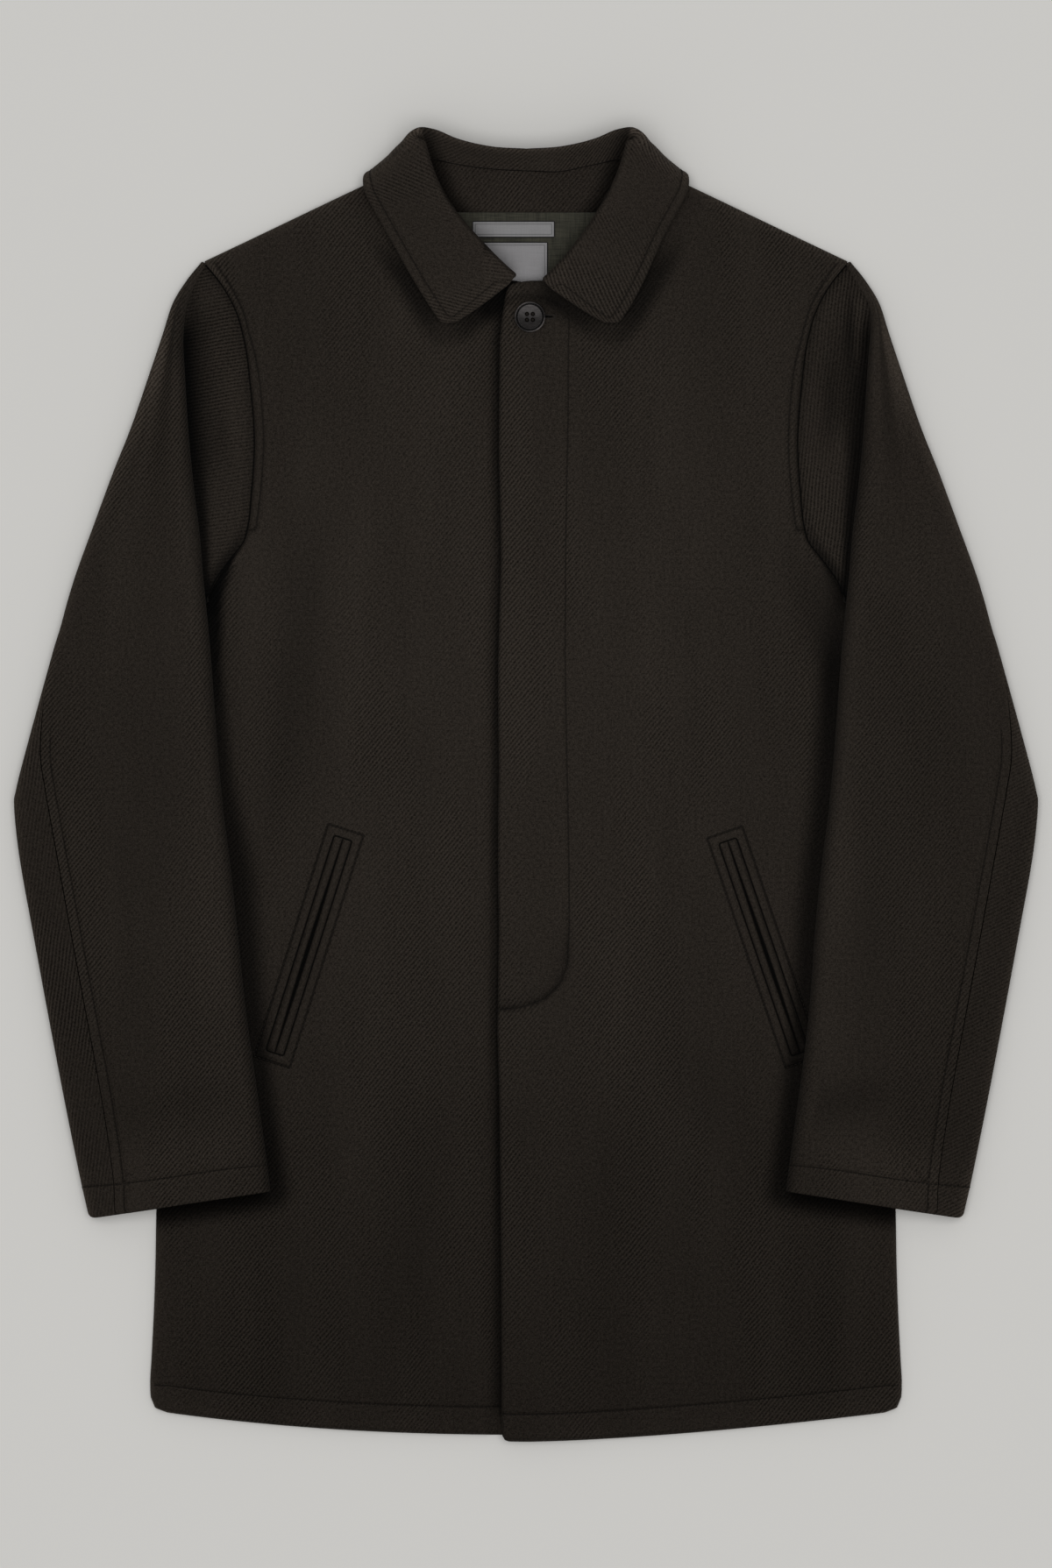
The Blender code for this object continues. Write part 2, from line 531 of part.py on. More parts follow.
def cloth(name, colour, roughness):
    material = bpy.data.materials.new(name)
    material.use_nodes = True
    shader = material.node_tree.nodes["Principled BSDF"]
    shader.inputs["Base Color"].default_value = (*colour, 1.0)
    shader.inputs["Roughness"].default_value = roughness
    shader.inputs["Metallic"].default_value = 0.0
    return material


def sheet_on(name, x_range, top_of, foot, bottom, thickness, columns, rows, material):
    """A flat piece lying in the neck: its upper edge is a function of x, its foot a height."""
    x = np.linspace(*x_range, columns)[None, :] * np.ones((rows, 1))
    y = foot + (top_of(x) - foot) * np.linspace(1.0, 0.0, rows)[:, None]
    z = lift(y) + bottom
    lower = np.stack([x, y, z], -1)
    upper = lower + np.array([0.0, 0.0, thickness])
    return slab(name, upper[::-1], lower[::-1], material)


def neck_seam(x):
    """Height of the back neck seam at x."""
    low, rise, reach = NECK_SEAM
    return low + rise * (x / reach) ** 2


def build_back(material):
    across = np.array([0.0, 0.25, 0.5, 0.72, 0.88, 0.96, 1.0])
    across = np.concatenate([-across[:0:-1], across])
    lower = np.array(BACK_ROWS + [HEM_SIDE])
    inset = BACK_INSET * smooth(rolled(lower), 0.0, 0.4) + SEAM_GAP / 2
    half = outline(lower) - inset
    x = half[:, None] * across
    down = np.clip((HEM_START - lower) / (HEM_START - HEM_SIDE), 0.0, 1.0)[:, None]
    foot = hem("right", np.abs(x)) + BACK_HEM_RISE
    y = np.where(down > 0, HEM_START - down * (HEM_START - foot), lower[:, None])
    tip = SHOULDER_TIP[0] - BACK_TIP_INSET
    top_x = tip * across
    along = (np.abs(top_x) - SHOULDER_NECK[0]) / (SHOULDER_TIP[0] - SHOULDER_NECK[0])
    shoulder = SHOULDER_NECK[1] - along * (SHOULDER_NECK[1] - SHOULDER_TIP[1]) - BACK_SHOULDER_INSET
    top_y = np.minimum(shoulder, neck_seam(top_x) + BACK_NECK)
    blend = np.linspace(0.0, 1.0, 8)[:-1, None]
    head_x = top_x * (1 - blend) + x[:1] * blend
    head_y = top_y * (1 - blend) + y[:1] * blend
    x = np.concatenate([head_x, x])
    y = np.concatenate([head_y, y])
    under = np.stack([x, y, lift(y)], -1)[::-1]
    slab("back", under + np.array([0.0, 0.0, BACK_CLOTH]), under, material)


def build_fronts(material):
    roll = np.linspace(0.0, 1.0, ROLL_STEPS + 1)
    across = np.concatenate([roll, np.linspace(1.0, 2.0, 8)[1:], [2.35, 2.7, 3.0]])[::-1]
    hem_rows = HEM_SIDE + HEM_ROLL * (1.0 - np.cos(roll * np.pi / 2))
    arm = sleeve_rows(sleeve_sections())
    arm = arm["arm_y"][(arm["cap"] > 0.999) & (arm["arm_y"] < SHOULDER_ROWS[0])]
    halfway = (arm[1:] + arm[:-1]) / 2
    arm = np.concatenate([arm, halfway[np.diff(arm) > ARM_STEP]])
    rows = np.sort(np.concatenate([hem_rows, SKIRT_ROWS, arm, SHOULDER_ROWS]))
    for side, mirror in SIDES.items():
        wall("front_" + side, lambda a, b: front_surface(side, a, b), across, rows, FRONT_CLOTH,
             material, mirror, 0.2)


def build_sleeves(material):
    along = sleeve_sections()
    thickness = SLEEVE_CLOTH * np.minimum(1.0, sleeve_rows(along)["loft"] / SLEEVE_LOFT) ** THIN_POWER
    top_across = np.concatenate([np.linspace(0.0, 0.5, 5), [0.625, 0.75, 0.875], np.linspace(1.0, 2.0, 9)])
    under_across = np.concatenate([np.linspace(0.0, 1.0, 7), [1.2, 1.4, 1.5, 1.6, 1.7, 1.85, 2.0]])
    for side, mirror in SIDES.items():
        wall("top_sleeve_" + side, lambda a, b: top_sleeve_surface(side, a, b), top_across[::-1], along,
             thickness, material, mirror, 0.05)
        wall("under_sleeve_" + side, lambda a, b: under_sleeve_surface(side, a, b), under_across, along,
             thickness, material, mirror, 0.05)


def build_collar(material):
    station = np.concatenate([np.linspace(0.0, 0.38, 5), np.linspace(0.42, 0.62, 7),
                              [0.68, 0.75, 0.82, 0.89, 0.94, 0.96, 0.975, 0.988, 1.0]])
    across = np.concatenate([[0.0, 0.09], np.linspace(1.0, 4.0, 8) / 6, [0.75, 0.83, 0.92, 1.0]])[::-1]
    a, b = np.meshgrid(across, station)
    halves = {}
    for side, mirror in SIDES.items():
        outer = collar_surface(side, a, b)
        inner = outer - outward(lambda p, q: collar_surface(side, p, q), a, b, 0.01, 0.004) * COLLAR_CLOTH
        outer[0, :, 0] = 0.0
        inner[0, :, 0] = 0.0
        flip = np.array([mirror, 1.0, 1.0])
        halves[side] = (outer * flip, inner * flip)
    outer = np.concatenate([halves["right"][0][:0:-1], halves["left"][0]])
    inner = np.concatenate([halves["right"][1][:0:-1], halves["left"][1]])
    slab("collar", outer, inner, material)


def build_pockets(material):
    for side, (top, foot) in {"right": POCKET_RIGHT, "left": POCKET_LEFT}.items():
        top = np.array(top)
        axis = np.array(foot) - top
        length = np.linalg.norm(axis)
        axis = axis / length
        square = np.array([-axis[1], axis[0]])
        along = np.linspace(0.0, 1.0, 9)[:, None]
        turn = np.linspace(0.0, np.pi, 5)[None, :]
        for place, lean in {"outer": 1.0, "inner": -1.0}.items():
            slit = SLIT / 2 + SLIT_GAPE / 2 * np.sin(along * np.pi)
            off = lean * (slit + (WELT_WIDTH - slit + SLIT / 2) * (1 + np.cos(turn) * -lean) / 2)
            x = top[0] + axis[0] * along * length + square[0] * off
            y = top[1] + axis[1] * along * length + square[1] * off
            seat = front_top(side, x, y) + SEAM_GAP
            lower = np.stack([x, y, seat], -1)
            upper = np.stack([x, y, seat + WELT_SIDE + (WELT_HEIGHT - WELT_SIDE) * np.sin(turn)], -1)
            slab("pocket_" + side + "_" + place, upper[::-1], lower[::-1], material, SIDES[side])


def build_button(material):
    seat = front_top("left", np.array(BUTTON_CENTRE[0]), np.array(BUTTON_CENTRE[1])) + SEAM_GAP
    around = BUTTON_SIDES
    dish = BUTTON_HEIGHT - DISH_DEPTH
    rim = BUTTON_RADIUS - RIM_WIDTH
    angle = (np.arange(around) + BUTTON_TURN) * 2 * np.pi / around
    verts = [(0.0, 0.0, seat)]
    profile = [(BUTTON_RADIUS - inset, z) for inset, z in BUTTON_OUTSIDE]
    profile += [(rim - inset, dish + z) for inset, z in BUTTON_DISH]
    for radius, z in profile:
        verts += [(radius * np.cos(a), radius * np.sin(a), seat + z) for a in angle]
    verts.append((0.0, 0.0, seat + dish))
    faces = []
    for k in range(around):
        n = (k + 1) % around
        faces.append((0, 1 + n, 1 + k))
        for ring in range(len(profile) - 1):
            low = 1 + ring * around
            high = low + around
            faces.append((low + k, low + n, high + n, high + k))
        last = 1 + (len(profile) - 1) * around
        faces.append((last + k, last + n, len(verts) - 1))
    verts = np.array(verts) + np.array([*BUTTON_CENTRE, 0.0])
    button = add_object("button", verts, faces, material)
    for k in range(4):
        a = np.pi / 4 + k * np.pi / 2
        bpy.ops.mesh.primitive_cylinder_add(vertices=8, radius=HOLE_RADIUS * METRES, depth=0.02)
        hole = bpy.context.object
        hole.name = "button_hole_cutter_" + str(k)
        hole.location = ((BUTTON_CENTRE[0] + HOLE_OFFSET * np.cos(a)) * METRES,
                         (BUTTON_CENTRE[1] + HOLE_OFFSET * np.sin(a)) * METRES, seat * METRES)
        hole.hide_render = True
        hole.display_type = "WIRE"
        hole.parent = coat
        cut = button.modifiers.new("hole_" + str(k), "BOOLEAN")
        cut.operation = "DIFFERENCE"
        cut.solver = "EXACT"
        cut.object = hole


for old in list(bpy.data.objects):
    bpy.data.objects.remove(old, do_unlink=True)

coat = bpy.data.objects.new("coat", None)
bpy.context.scene.collection.objects.link(coat)

shell = cloth("shell_twill", TWILL, 0.9)
build_back(shell)
build_fronts(shell)
build_sleeves(shell)
build_collar(shell)
sheet_on("neck_facing", (-FACING_HALF, FACING_HALF), lambda x: neck_seam(x) + FACING_HEAD, FACING_FOOT,
         BACK_CLOTH + SEAM_GAP, FACING_CLOTH, 13, 5, shell)
lining = cloth("lining_cloth", LINING_TINT, 0.7)
sheet_on("lining_back", (-LINING_HALF, LINING_HALF), lambda x: FACING_FOOT - SEAM_GAP + 0.0 * x, LINING_FOOT,
         BACK_CLOTH + SEAM_GAP, LINING_CLOTH, 7, 7, lining)
label = cloth("label_cloth", LABEL_TINT, 0.6)
for name, (left, right, foot, head) in {"label_small": LABEL_SMALL, "label_large": LABEL_LARGE}.items():
    sheet_on(name, (left, right), lambda x: head + 0.0 * x, foot,
             BACK_CLOTH + LINING_CLOTH + 2 * SEAM_GAP, LABEL_CLOTH, 3, 4, label)
build_pockets(shell)
build_button(cloth("horn", HORN_TINT, 0.35))
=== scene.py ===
"""Looks of a fly-front mackintosh in dark heavy twill, buttoned at the neck and laid out flat on its back.

Lengths are millimetres until a mesh is made. +X is the wearer's left, +Y runs from the hem to the collar, and
the floor is z = 0. Each side is worked out at +X and mirrored for the wearer's right.
"""

import json

import bpy
import numpy as np
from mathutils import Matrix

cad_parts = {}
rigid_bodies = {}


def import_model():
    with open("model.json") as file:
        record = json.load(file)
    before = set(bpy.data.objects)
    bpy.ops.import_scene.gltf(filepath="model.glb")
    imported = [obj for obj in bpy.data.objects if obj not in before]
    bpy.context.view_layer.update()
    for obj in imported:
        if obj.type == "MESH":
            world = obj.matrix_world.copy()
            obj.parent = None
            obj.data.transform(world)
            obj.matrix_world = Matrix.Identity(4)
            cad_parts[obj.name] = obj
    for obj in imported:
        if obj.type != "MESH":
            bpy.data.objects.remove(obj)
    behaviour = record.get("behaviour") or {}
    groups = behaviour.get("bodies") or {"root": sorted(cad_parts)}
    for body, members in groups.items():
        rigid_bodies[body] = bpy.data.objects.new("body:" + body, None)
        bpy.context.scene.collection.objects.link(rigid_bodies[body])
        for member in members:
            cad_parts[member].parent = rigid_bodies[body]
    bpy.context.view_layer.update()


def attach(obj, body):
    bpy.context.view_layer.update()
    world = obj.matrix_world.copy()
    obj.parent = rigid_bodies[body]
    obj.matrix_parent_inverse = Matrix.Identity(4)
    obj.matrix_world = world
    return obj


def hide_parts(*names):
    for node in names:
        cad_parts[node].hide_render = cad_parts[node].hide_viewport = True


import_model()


# Back
# The largest panel, one piece of heavy wool twill pressed flat. It lies face down on the floor, every other
# panel lies on it, and its edges stay inside the rolled side seams of the fronts.

MM = 0.001
SEAM_GAP = 0.3
BACK_CLOTH = 2.2
SHOULDER_NECK = (87.0, 445.0)
SHOULDER_TIP = (232.0, 376.0)
BODY_SIDE = [
    (376, 232.0), (359, 218.5), (342, 209.0), (318, 202.0), (288, 198.0), (244, 195.0), (210, 197.0),
    (184, 200.0), (174, 203.0), (164, 211.0), (144, 226.0), (133, 230.5), (120, 236.0), (95, 242.0),
    (0, 250.0), (-150, 259.0), (-310, 266.0), (-345, 266.6), (-381, 267.8), (-413, 269.4), (-433.5, 270.3),
    (-442.5, 269.5), (-448.5, 266.5), (-452, 258.0),
]
ARMHOLE_TOP = 350.0
ARMHOLE_FOOT = 165.0
UNDERARM = 125.0
NECK_LIFT = 3.2
LIFT_FROM = 392.0
LIFT_TO = 421.0
HEM_START = -300.0
HEM_SIDE = -452.0
HEM_SIDE_WIDTH = 258.0
HEM_DROP = {"right": (16.0, 2.2), "left": (21.0, 1.5)}
BACK_HEM_RISE = 9.0
BACK_HEM_HALF = 262.0
BACK_HEM_STITCH = 19.0
BACK_INSET = 3.4
BACK_TIP_INSET = 8.0
BACK_SHOULDER_INSET = 3.6
BACK_BLEND_FROM = 339.0
NECK_SEAM = (441.2, 8.0, 66.0)
NECK_DIP = (24.0, 16.0, 1.8)
TWILL_ANGLE = 50.0
TWILL_PITCH = 2.5
YARN_PITCH = 2.4
TWILL_DARK = (0.0030, 0.0023, 0.0017)
TWILL_LIGHT = (0.0262, 0.0212, 0.0169)
NAP_SHEEN = (0.42, 0.38, 0.34)
# Grooves beside a line of the finish: where they begin and end, their depth and the share of light they take
STITCH_GROOVE = (0.1, 1.1, 1.3, 0.40)
STITCH_PILLOW = (0.7, 4.2, 1.3)
SEAM_DITCH = (0.5, 1.5, 1.8, 0.92)
# A distance that stands for no line near by, and how far past its end a line still counts
FAR_OFF = 1e3
PAST_END = 0.6
LEAST_FILL = 0.3


def smooth(at, low, high):
    """0 below low, 1 above high, and 3u^2 - 2u^3 at the share u of the way between."""
    u = np.clip((np.asarray(at, float) - low) / (high - low), 0.0, 1.0)
    return u * u * (3.0 - 2.0 * u)


def hump(away, breadth):
    """A Gaussian of a distance: 1 at none, and 1 / e at the breadth."""
    return np.exp(-(away / breadth) ** 2)


def through(knots, values, at):
    """A curve through the values: cubic Hermite pieces whose slopes are the knots' central differences."""
    knots = np.asarray(knots, float)
    values = np.asarray(values, float)
    slopes = np.gradient(values, knots)
    at = np.clip(at, knots[0], knots[-1])
    i = np.clip(np.searchsorted(knots, at, side="right") - 1, 0, len(knots) - 2)
    step = knots[i + 1] - knots[i]
    u = (at - knots[i]) / step
    start = (1 + 2 * u) * (1 - u) ** 2 * values[i] + u * (1 - u) ** 2 * step * slopes[i]
    return start + u * u * (3 - 2 * u) * values[i + 1] + u * u * (u - 1) * step * slopes[i + 1]


def outline(y):
    """Half width of the body at height y: a straight shoulder, then a curve down the armhole and the side."""
    along = (SHOULDER_NECK[1] - y) / (SHOULDER_NECK[1] - SHOULDER_TIP[1])
    shoulder = SHOULDER_NECK[0] + along * (SHOULDER_TIP[0] - SHOULDER_NECK[0])
    rows = np.array(BODY_SIDE)
    side = through(-rows[:, 0], rows[:, 1], -np.asarray(y, float))
    return np.where(y > SHOULDER_TIP[1], shoulder, side)


def rolled(y):
    """1 where the body's outline rolls down to the floor, 0 along the armhole seam."""
    return np.maximum(smooth(y, ARMHOLE_TOP, SHOULDER_TIP[1]), 1.0 - smooth(y, UNDERARM, ARMHOLE_FOOT))


def lift(y):
    """Rise of the whole body over the collar, which is tucked under the back of the neck."""
    return NECK_LIFT * smooth(y, LIFT_FROM, LIFT_TO)


def hem_line(side, x):
    """Height of the hem at half width x: the side's height less a drop that falls off as a power of x."""
    drop, power = HEM_DROP[side]
    return HEM_SIDE - drop * (1.0 - np.clip(np.abs(x) / HEM_SIDE_WIDTH, 0.0, 1.0) ** power)


def unit(vectors):
    """Vectors made one long."""
    return vectors / np.maximum(np.linalg.norm(vectors, axis=-1, keepdims=True), 1e-9)


def grid_normals(points):
    """Unit normals of a grid of points: the cross product of its central differences across and along."""
    return unit(np.cross(np.gradient(points, axis=1), np.gradient(points, axis=0)))


def from_line(plan, line):
    """Signed distance of plan points from an open line, and whether they lie past one of its ends.

    Each point is dropped on every segment at the share of the way that its dot product gives; the nearest
    counts, and the side of that segment gives the sign.
    """
    a, ab = line[:-1], line[1:] - line[:-1]
    ap = plan[..., None, :] - a
    share = np.clip((ap * ab).sum(-1) / np.maximum((ab * ab).sum(-1), 1e-9), 0.0, 1.0)
    gap = np.linalg.norm(ap - share[..., None] * ab, axis=-1)
    side = ab[:, 0] * ap[..., 1] - ab[:, 1] * ap[..., 0]
    k = np.argmin(gap, axis=-1)[..., None]
    gap, side, share = (np.take_along_axis(part, k, -1)[..., 0] for part in (gap, side, share))
    past = ((k[..., 0] == 0) & (share <= 0.0)) | ((k[..., 0] == len(a) - 1) & (share >= 1.0))
    return np.where(side < 0, -gap, gap), past


def stretched(gap):
    """A signed distance d made d (1 + (d / 4)^2), so that it jumps where the signs of two lines meet."""
    return gap * (1.0 + (gap / 4.0) ** 2)


def line_distance(plan, *lines):
    """Stretched signed distance of plan points from the nearest of some lines, far off past their ends."""
    best = np.full(plan.shape[:-1], FAR_OFF)
    for line in lines:
        gap, past = from_line(plan, line)
        gap = np.where(past & (np.abs(gap) > PAST_END), FAR_OFF, gap)
        best = np.where(np.abs(gap) < np.abs(best), gap, best)
    return stretched(best)


def put_mesh(name, points, faces, material, uv=None, values=None):
    """A smooth-shaded mesh object at the origin from millimetre points, riding on the coat's one body."""
    mesh = bpy.data.meshes.new(name)
    mesh.from_pydata((np.reshape(points, (-1, 3)) * MM).tolist(), [], faces)
    mesh.materials.append(material)
    mesh.polygons.foreach_set("use_smooth", np.ones(len(mesh.polygons), bool))
    if uv is not None:
        corner = np.zeros(len(mesh.loops), int)
        mesh.loops.foreach_get("vertex_index", corner)
        layer = mesh.uv_layers.new(name="cloth")
        layer.uv.foreach_set("vector", (uv * MM)[corner].astype(np.float32).ravel())
    for key, value in (values or {}).items():
        mesh.attributes.new(key, "FLOAT", "POINT").data.foreach_set("value", value.astype(np.float32))
    mesh.set_sharp_from_angle(angle=1.0)
    piece = bpy.data.objects.new(name, mesh)
    bpy.context.scene.collection.objects.link(piece)
    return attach(piece, "root")


def cloth_shell(name, face, uv, thickness, material, up=1.0, stitch=None, seam=None, shade=None, nap=None):
    """A closed wall of cloth.

    The outer face is the grid, turned to face up or down; the inner face is the same grid moved by the
    thickness against the unit normals, kept over the floor; a strip of quads round the rim joins the two.
    """
    rows, cols = face.shape[:2]
    normal = grid_normals(face)
    flip = np.sign(normal[..., 2].mean()) * up
    inner = face - flip * normal * np.reshape(thickness, (-1, 1, 1))
    inner[..., 2] = np.maximum(inner[..., 2], 0.0)
    count = rows * cols
    index = np.arange(count).reshape(rows, cols)
    quads = np.stack([index[:-1, :-1], index[:-1, 1:], index[1:, 1:], index[1:, :-1]], -1).reshape(-1, 4)
    rim = np.concatenate([index[0, :-1], index[:-1, -1], index[-1, :0:-1], index[:0:-1, 0]])
    after = np.roll(rim, -1)
    wall = np.stack([after, rim, rim + count, after + count], -1)
    faces = np.concatenate([quads, quads[:, ::-1] + count, wall])
    if flip < 0:
        faces = faces[:, ::-1]
    both = {"stitch": stitch, "seam": seam, "shade": shade, "nap": nap}
    for key, plain in {"stitch": FAR_OFF, "seam": FAR_OFF, "shade": 1.0, "nap": 0.0}.items():
        outer = np.broadcast_to(plain if both[key] is None else both[key], (rows, cols)).ravel()
        both[key] = np.concatenate([outer, outer if key == "shade" else np.full(count, plain)])
    points = np.concatenate([face.reshape(-1, 3), inner.reshape(-1, 3)])
    return put_mesh(name, points, faces.tolist(), material, np.tile(uv.reshape(-1, 2), (2, 1)), both)


def lay(piece, face, flat_map, rests_on, slot, *nodes):
    """Hides the CAD nodes that a cloth piece stands for, and works out the area of its face within the extent
    of its cut.
    """
    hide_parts(*nodes)
    across = face[1:, 1:] - face[:-1, :-1]
    back_across = face[1:, :-1] - face[:-1, 1:]
    area = np.linalg.norm(np.cross(across, back_across), axis=-1).sum() / 2 * MM * MM
    size = np.ptp(flat_map.reshape(-1, 2), axis=0) * MM
    float(np.clip(area, LEAST_FILL * size.prod(), size.prod()))


def add_node(tree, kind, inputs, **settings):
    """A shader node: its settings, then each input by name or number as a value or a link from a socket."""
    node = tree.nodes.new(kind)
    for key, value in settings.items():
        setattr(node, key, value)
    for key, value in inputs.items():
        if isinstance(value, bpy.types.NodeSocket):
            tree.links.new(value, node.inputs[key])
        else:
            node.inputs[key].default_value = value
    return node


def sums(tree, operation, a, b=0.0, c=0.0):
    """The output of one Math node."""
    return add_node(tree, "ShaderNodeMath", {0: a, 1: b, 2: c}, operation=operation).outputs[0]


def eased(tree, value, low, high, start, end):
    """start below low, end above high, with a smooth step between."""
    inputs = {"Value": value, "From Min": low, "From Max": high, "To Min": start, "To Max": end}
    return add_node(tree, "ShaderNodeMapRange", inputs, interpolation_type="SMOOTHSTEP").outputs["Result"]


def scaled(tree, vector, axes):
    """A vector times a factor for each axis."""
    inputs = {0: vector, 1: axes}
    return add_node(tree, "ShaderNodeVectorMath", inputs, operation="MULTIPLY").outputs["Vector"]


def measured(tree, vector, axis):
    """The dot product of a vector with an axis."""
    inputs = {0: vector, 1: axis}
    return add_node(tree, "ShaderNodeVectorMath", inputs, operation="DOT_PRODUCT").outputs["Value"]


def noise(tree, vector, scale, detail=2.0):
    """Noise about 0.5 whose features are about 1 / scale metres wide."""
    inputs = {"Vector": vector, "Scale": scale, "Detail": detail, "Roughness": 0.6}
    return add_node(tree, "ShaderNodeTexNoise", inputs, noise_dimensions="2D").outputs["Fac"]


def new_group(name, inputs, outputs):
    """An empty shader node group; returns it, the sockets it is given and those that take its results."""
    group = bpy.data.node_groups.new(name, "ShaderNodeTree")
    for kind, sockets in (("INPUT", inputs), ("OUTPUT", outputs)):
        for key, data in sockets.items():
            group.interface.new_socket(key, in_out=kind, socket_type="NodeSocket" + data)
    return group, group.nodes.new("NodeGroupInput").outputs, group.nodes.new("NodeGroupOutput").inputs


def placed(tree, group, inputs):
    """The outputs of a node group placed in a tree."""
    return add_node(tree, "ShaderNodeGroup", inputs, node_tree=group).outputs


def two_tones():
    """Group that mixes a dark and a pale colour by a tone and multiplies the result by a share of light."""
    sockets = {"Tone": "Float", "Dark": "Color", "Pale": "Color", "Light": "Float"}
    group, given, result = new_group("two_tones", sockets, {"Colour": "Color"})
    inputs = {"Factor": given["Tone"], "A": given["Dark"], "B": given["Pale"]}
    mixed = add_node(group, "ShaderNodeMix", inputs, data_type="RGBA").outputs["Result"]
    inputs = {channel: given["Light"] for channel in ("Red", "Green", "Blue")}
    grey = add_node(group, "ShaderNodeCombineColor", inputs).outputs["Color"]
    inputs = {"Factor": 1.0, "A": mixed, "B": grey}
    lit = add_node(group, "ShaderNodeMix", inputs, data_type="RGBA", blend_type="MULTIPLY")
    group.links.new(lit.outputs["Result"], result["Colour"])
    return group


def seam_lines():
    """Group that turns millimetres from stitching and seams into a groove's depth and a share of light."""
    group, given, result = new_group("seam_lines", {"Stitch": "Float", "Seam": "Float"},
                                     {"Depth": "Float", "Light": "Float"})
    from_stitch = sums(group, "ABSOLUTE", given["Stitch"])
    from_seam = sums(group, "ABSOLUTE", given["Seam"])
    thread = eased(group, from_stitch, *STITCH_GROOVE[:2], 1.0, 0.0)
    pillow = eased(group, from_stitch, *STITCH_PILLOW, 0.0)
    ditch = eased(group, from_seam, *SEAM_DITCH[:2], 1.0, 0.0)
    depth = sums(group, "MULTIPLY_ADD", thread, STITCH_GROOVE[2], pillow)
    depth = sums(group, "MULTIPLY_ADD", ditch, SEAM_DITCH[2], depth)
    light = sums(group, "MULTIPLY", sums(group, "MULTIPLY_ADD", thread, -STITCH_GROOVE[3], 1.0),
                 sums(group, "MULTIPLY_ADD", ditch, -SEAM_DITCH[3], 1.0))
    group.links.new(depth, result["Depth"])
    group.links.new(light, result["Light"])
    return group


def twill_weave():
    """Group for heavy napped twill on flat cloth coordinates in metres.

    Ribs are a cosine across the twill line with a little wander, broken along it into yarns that step from
    rib to rib; fuzz and flecks are fine noise, and slow noise and the given nap set how far the ribs are
    covered. Less than no nap is a worn face, whose ribs all show.
    """
    group, given, result = new_group("twill_weave", {"Cloth": "Vector", "Nap": "Float"},
                                     {"Tone": "Float", "Height": "Float"})
    cloth = given["Cloth"]
    a = np.radians(TWILL_ANGLE)
    pitch = TWILL_PITCH * MM
    yarn_pitch = YARN_PITCH * MM
    across = measured(group, cloth, (np.sin(a) / pitch, -np.cos(a) / pitch, 0.0))
    along = measured(group, cloth, (np.cos(a) / yarn_pitch, np.sin(a) / yarn_pitch, 0.0))
    wander = noise(group, cloth, 28.0, 1.0)
    across = sums(group, "MULTIPLY_ADD", wander, 0.8, across)
    rib = sums(group, "COSINE", sums(group, "MULTIPLY", across, 2 * np.pi))
    along = sums(group, "MULTIPLY_ADD", sums(group, "FLOOR", across), 0.37, along)
    yarn = sums(group, "COSINE", sums(group, "MULTIPLY", along, 2 * np.pi))
    drawn = scaled(group, cloth, (1.0, 0.2, 0.0))
    shown = eased(group, noise(group, drawn, 13.0, 2.0), 0.40, 0.60, 0.1, 1.0)
    covered = sums(group, "MAXIMUM", given["Nap"], 0.0)
    shown = sums(group, "MULTIPLY", shown, sums(group, "MULTIPLY_ADD", covered, -0.85, 1.0))
    worn = sums(group, "MULTIPLY", given["Nap"], -1.0)
    shown = sums(group, "MAXIMUM", shown, worn)
    rib = sums(group, "MULTIPLY", rib, shown)
    yarn = sums(group, "MULTIPLY", yarn, shown)
    fuzz = sums(group, "SUBTRACT", noise(group, cloth, 1100.0, 2.0), 0.5)
    fleck = sums(group, "SUBTRACT", noise(group, cloth, 430.0, 3.0), 0.5)
    nap = sums(group, "SUBTRACT", noise(group, drawn, 24.0, 4.0), 0.5)
    broad = sums(group, "SUBTRACT", noise(group, cloth, 5.0, 2.0), 0.5)
    tone = sums(group, "MULTIPLY_ADD", rib, 0.26, 0.46)
    for part, share in ((yarn, 0.06), (fuzz, 1.1), (fleck, 0.7), (nap, 0.22), (broad, 0.14)):
        tone = sums(group, "MULTIPLY_ADD", part, share, tone)
    height = sums(group, "MULTIPLY", rib, 0.42)
    for part, share in ((yarn, 0.1), (fuzz, 0.9), (fleck, 0.9)):
        height = sums(group, "MULTIPLY_ADD", part, share, height)
    group.links.new(tone, result["Tone"])
    group.links.new(height, result["Height"])
    return group


TWO_TONES = two_tones()
TWILL_WEAVE = twill_weave()
SEAM_LINES = seam_lines()


def attribute(tree, name):
    """A float attribute of the mesh."""
    return add_node(tree, "ShaderNodeAttribute", {}, attribute_name=name).outputs["Fac"]


def new_material(name):
    """A material with its node tree and its Principled shader."""
    material = bpy.data.materials.new(name)
    material.use_nodes = True
    return material, material.node_tree, material.node_tree.nodes["Principled BSDF"]


def toned(tree, tone, dark, pale, light):
    """The colour of the two tones placed in a material."""
    inputs = {"Tone": tone, "Dark": (*dark, 1.0), "Pale": (*pale, 1.0), "Light": light}
    return placed(tree, TWO_TONES, inputs)["Colour"]


def finished(tree, shader, colour, roughness, height, strength, distance, specular):
    """Joins a colour, a roughness and a bump from a height, with its strength and reach, to the shader."""
    bump = add_node(tree, "ShaderNodeBump", {"Strength": strength, "Distance": distance, "Height": height})
    tree.links.new(colour, shader.inputs["Base Color"])
    tree.links.new(roughness, shader.inputs["Roughness"])
    tree.links.new(bump.outputs["Normal"], shader.inputs["Normal"])
    shader.inputs["Specular IOR Level"].default_value = specular


def seams_of(tree):
    """The seam lines' depth and light from the distances that a cloth piece carries."""
    return placed(tree, SEAM_LINES, {"Stitch": attribute(tree, "stitch"), "Seam": attribute(tree, "seam")})


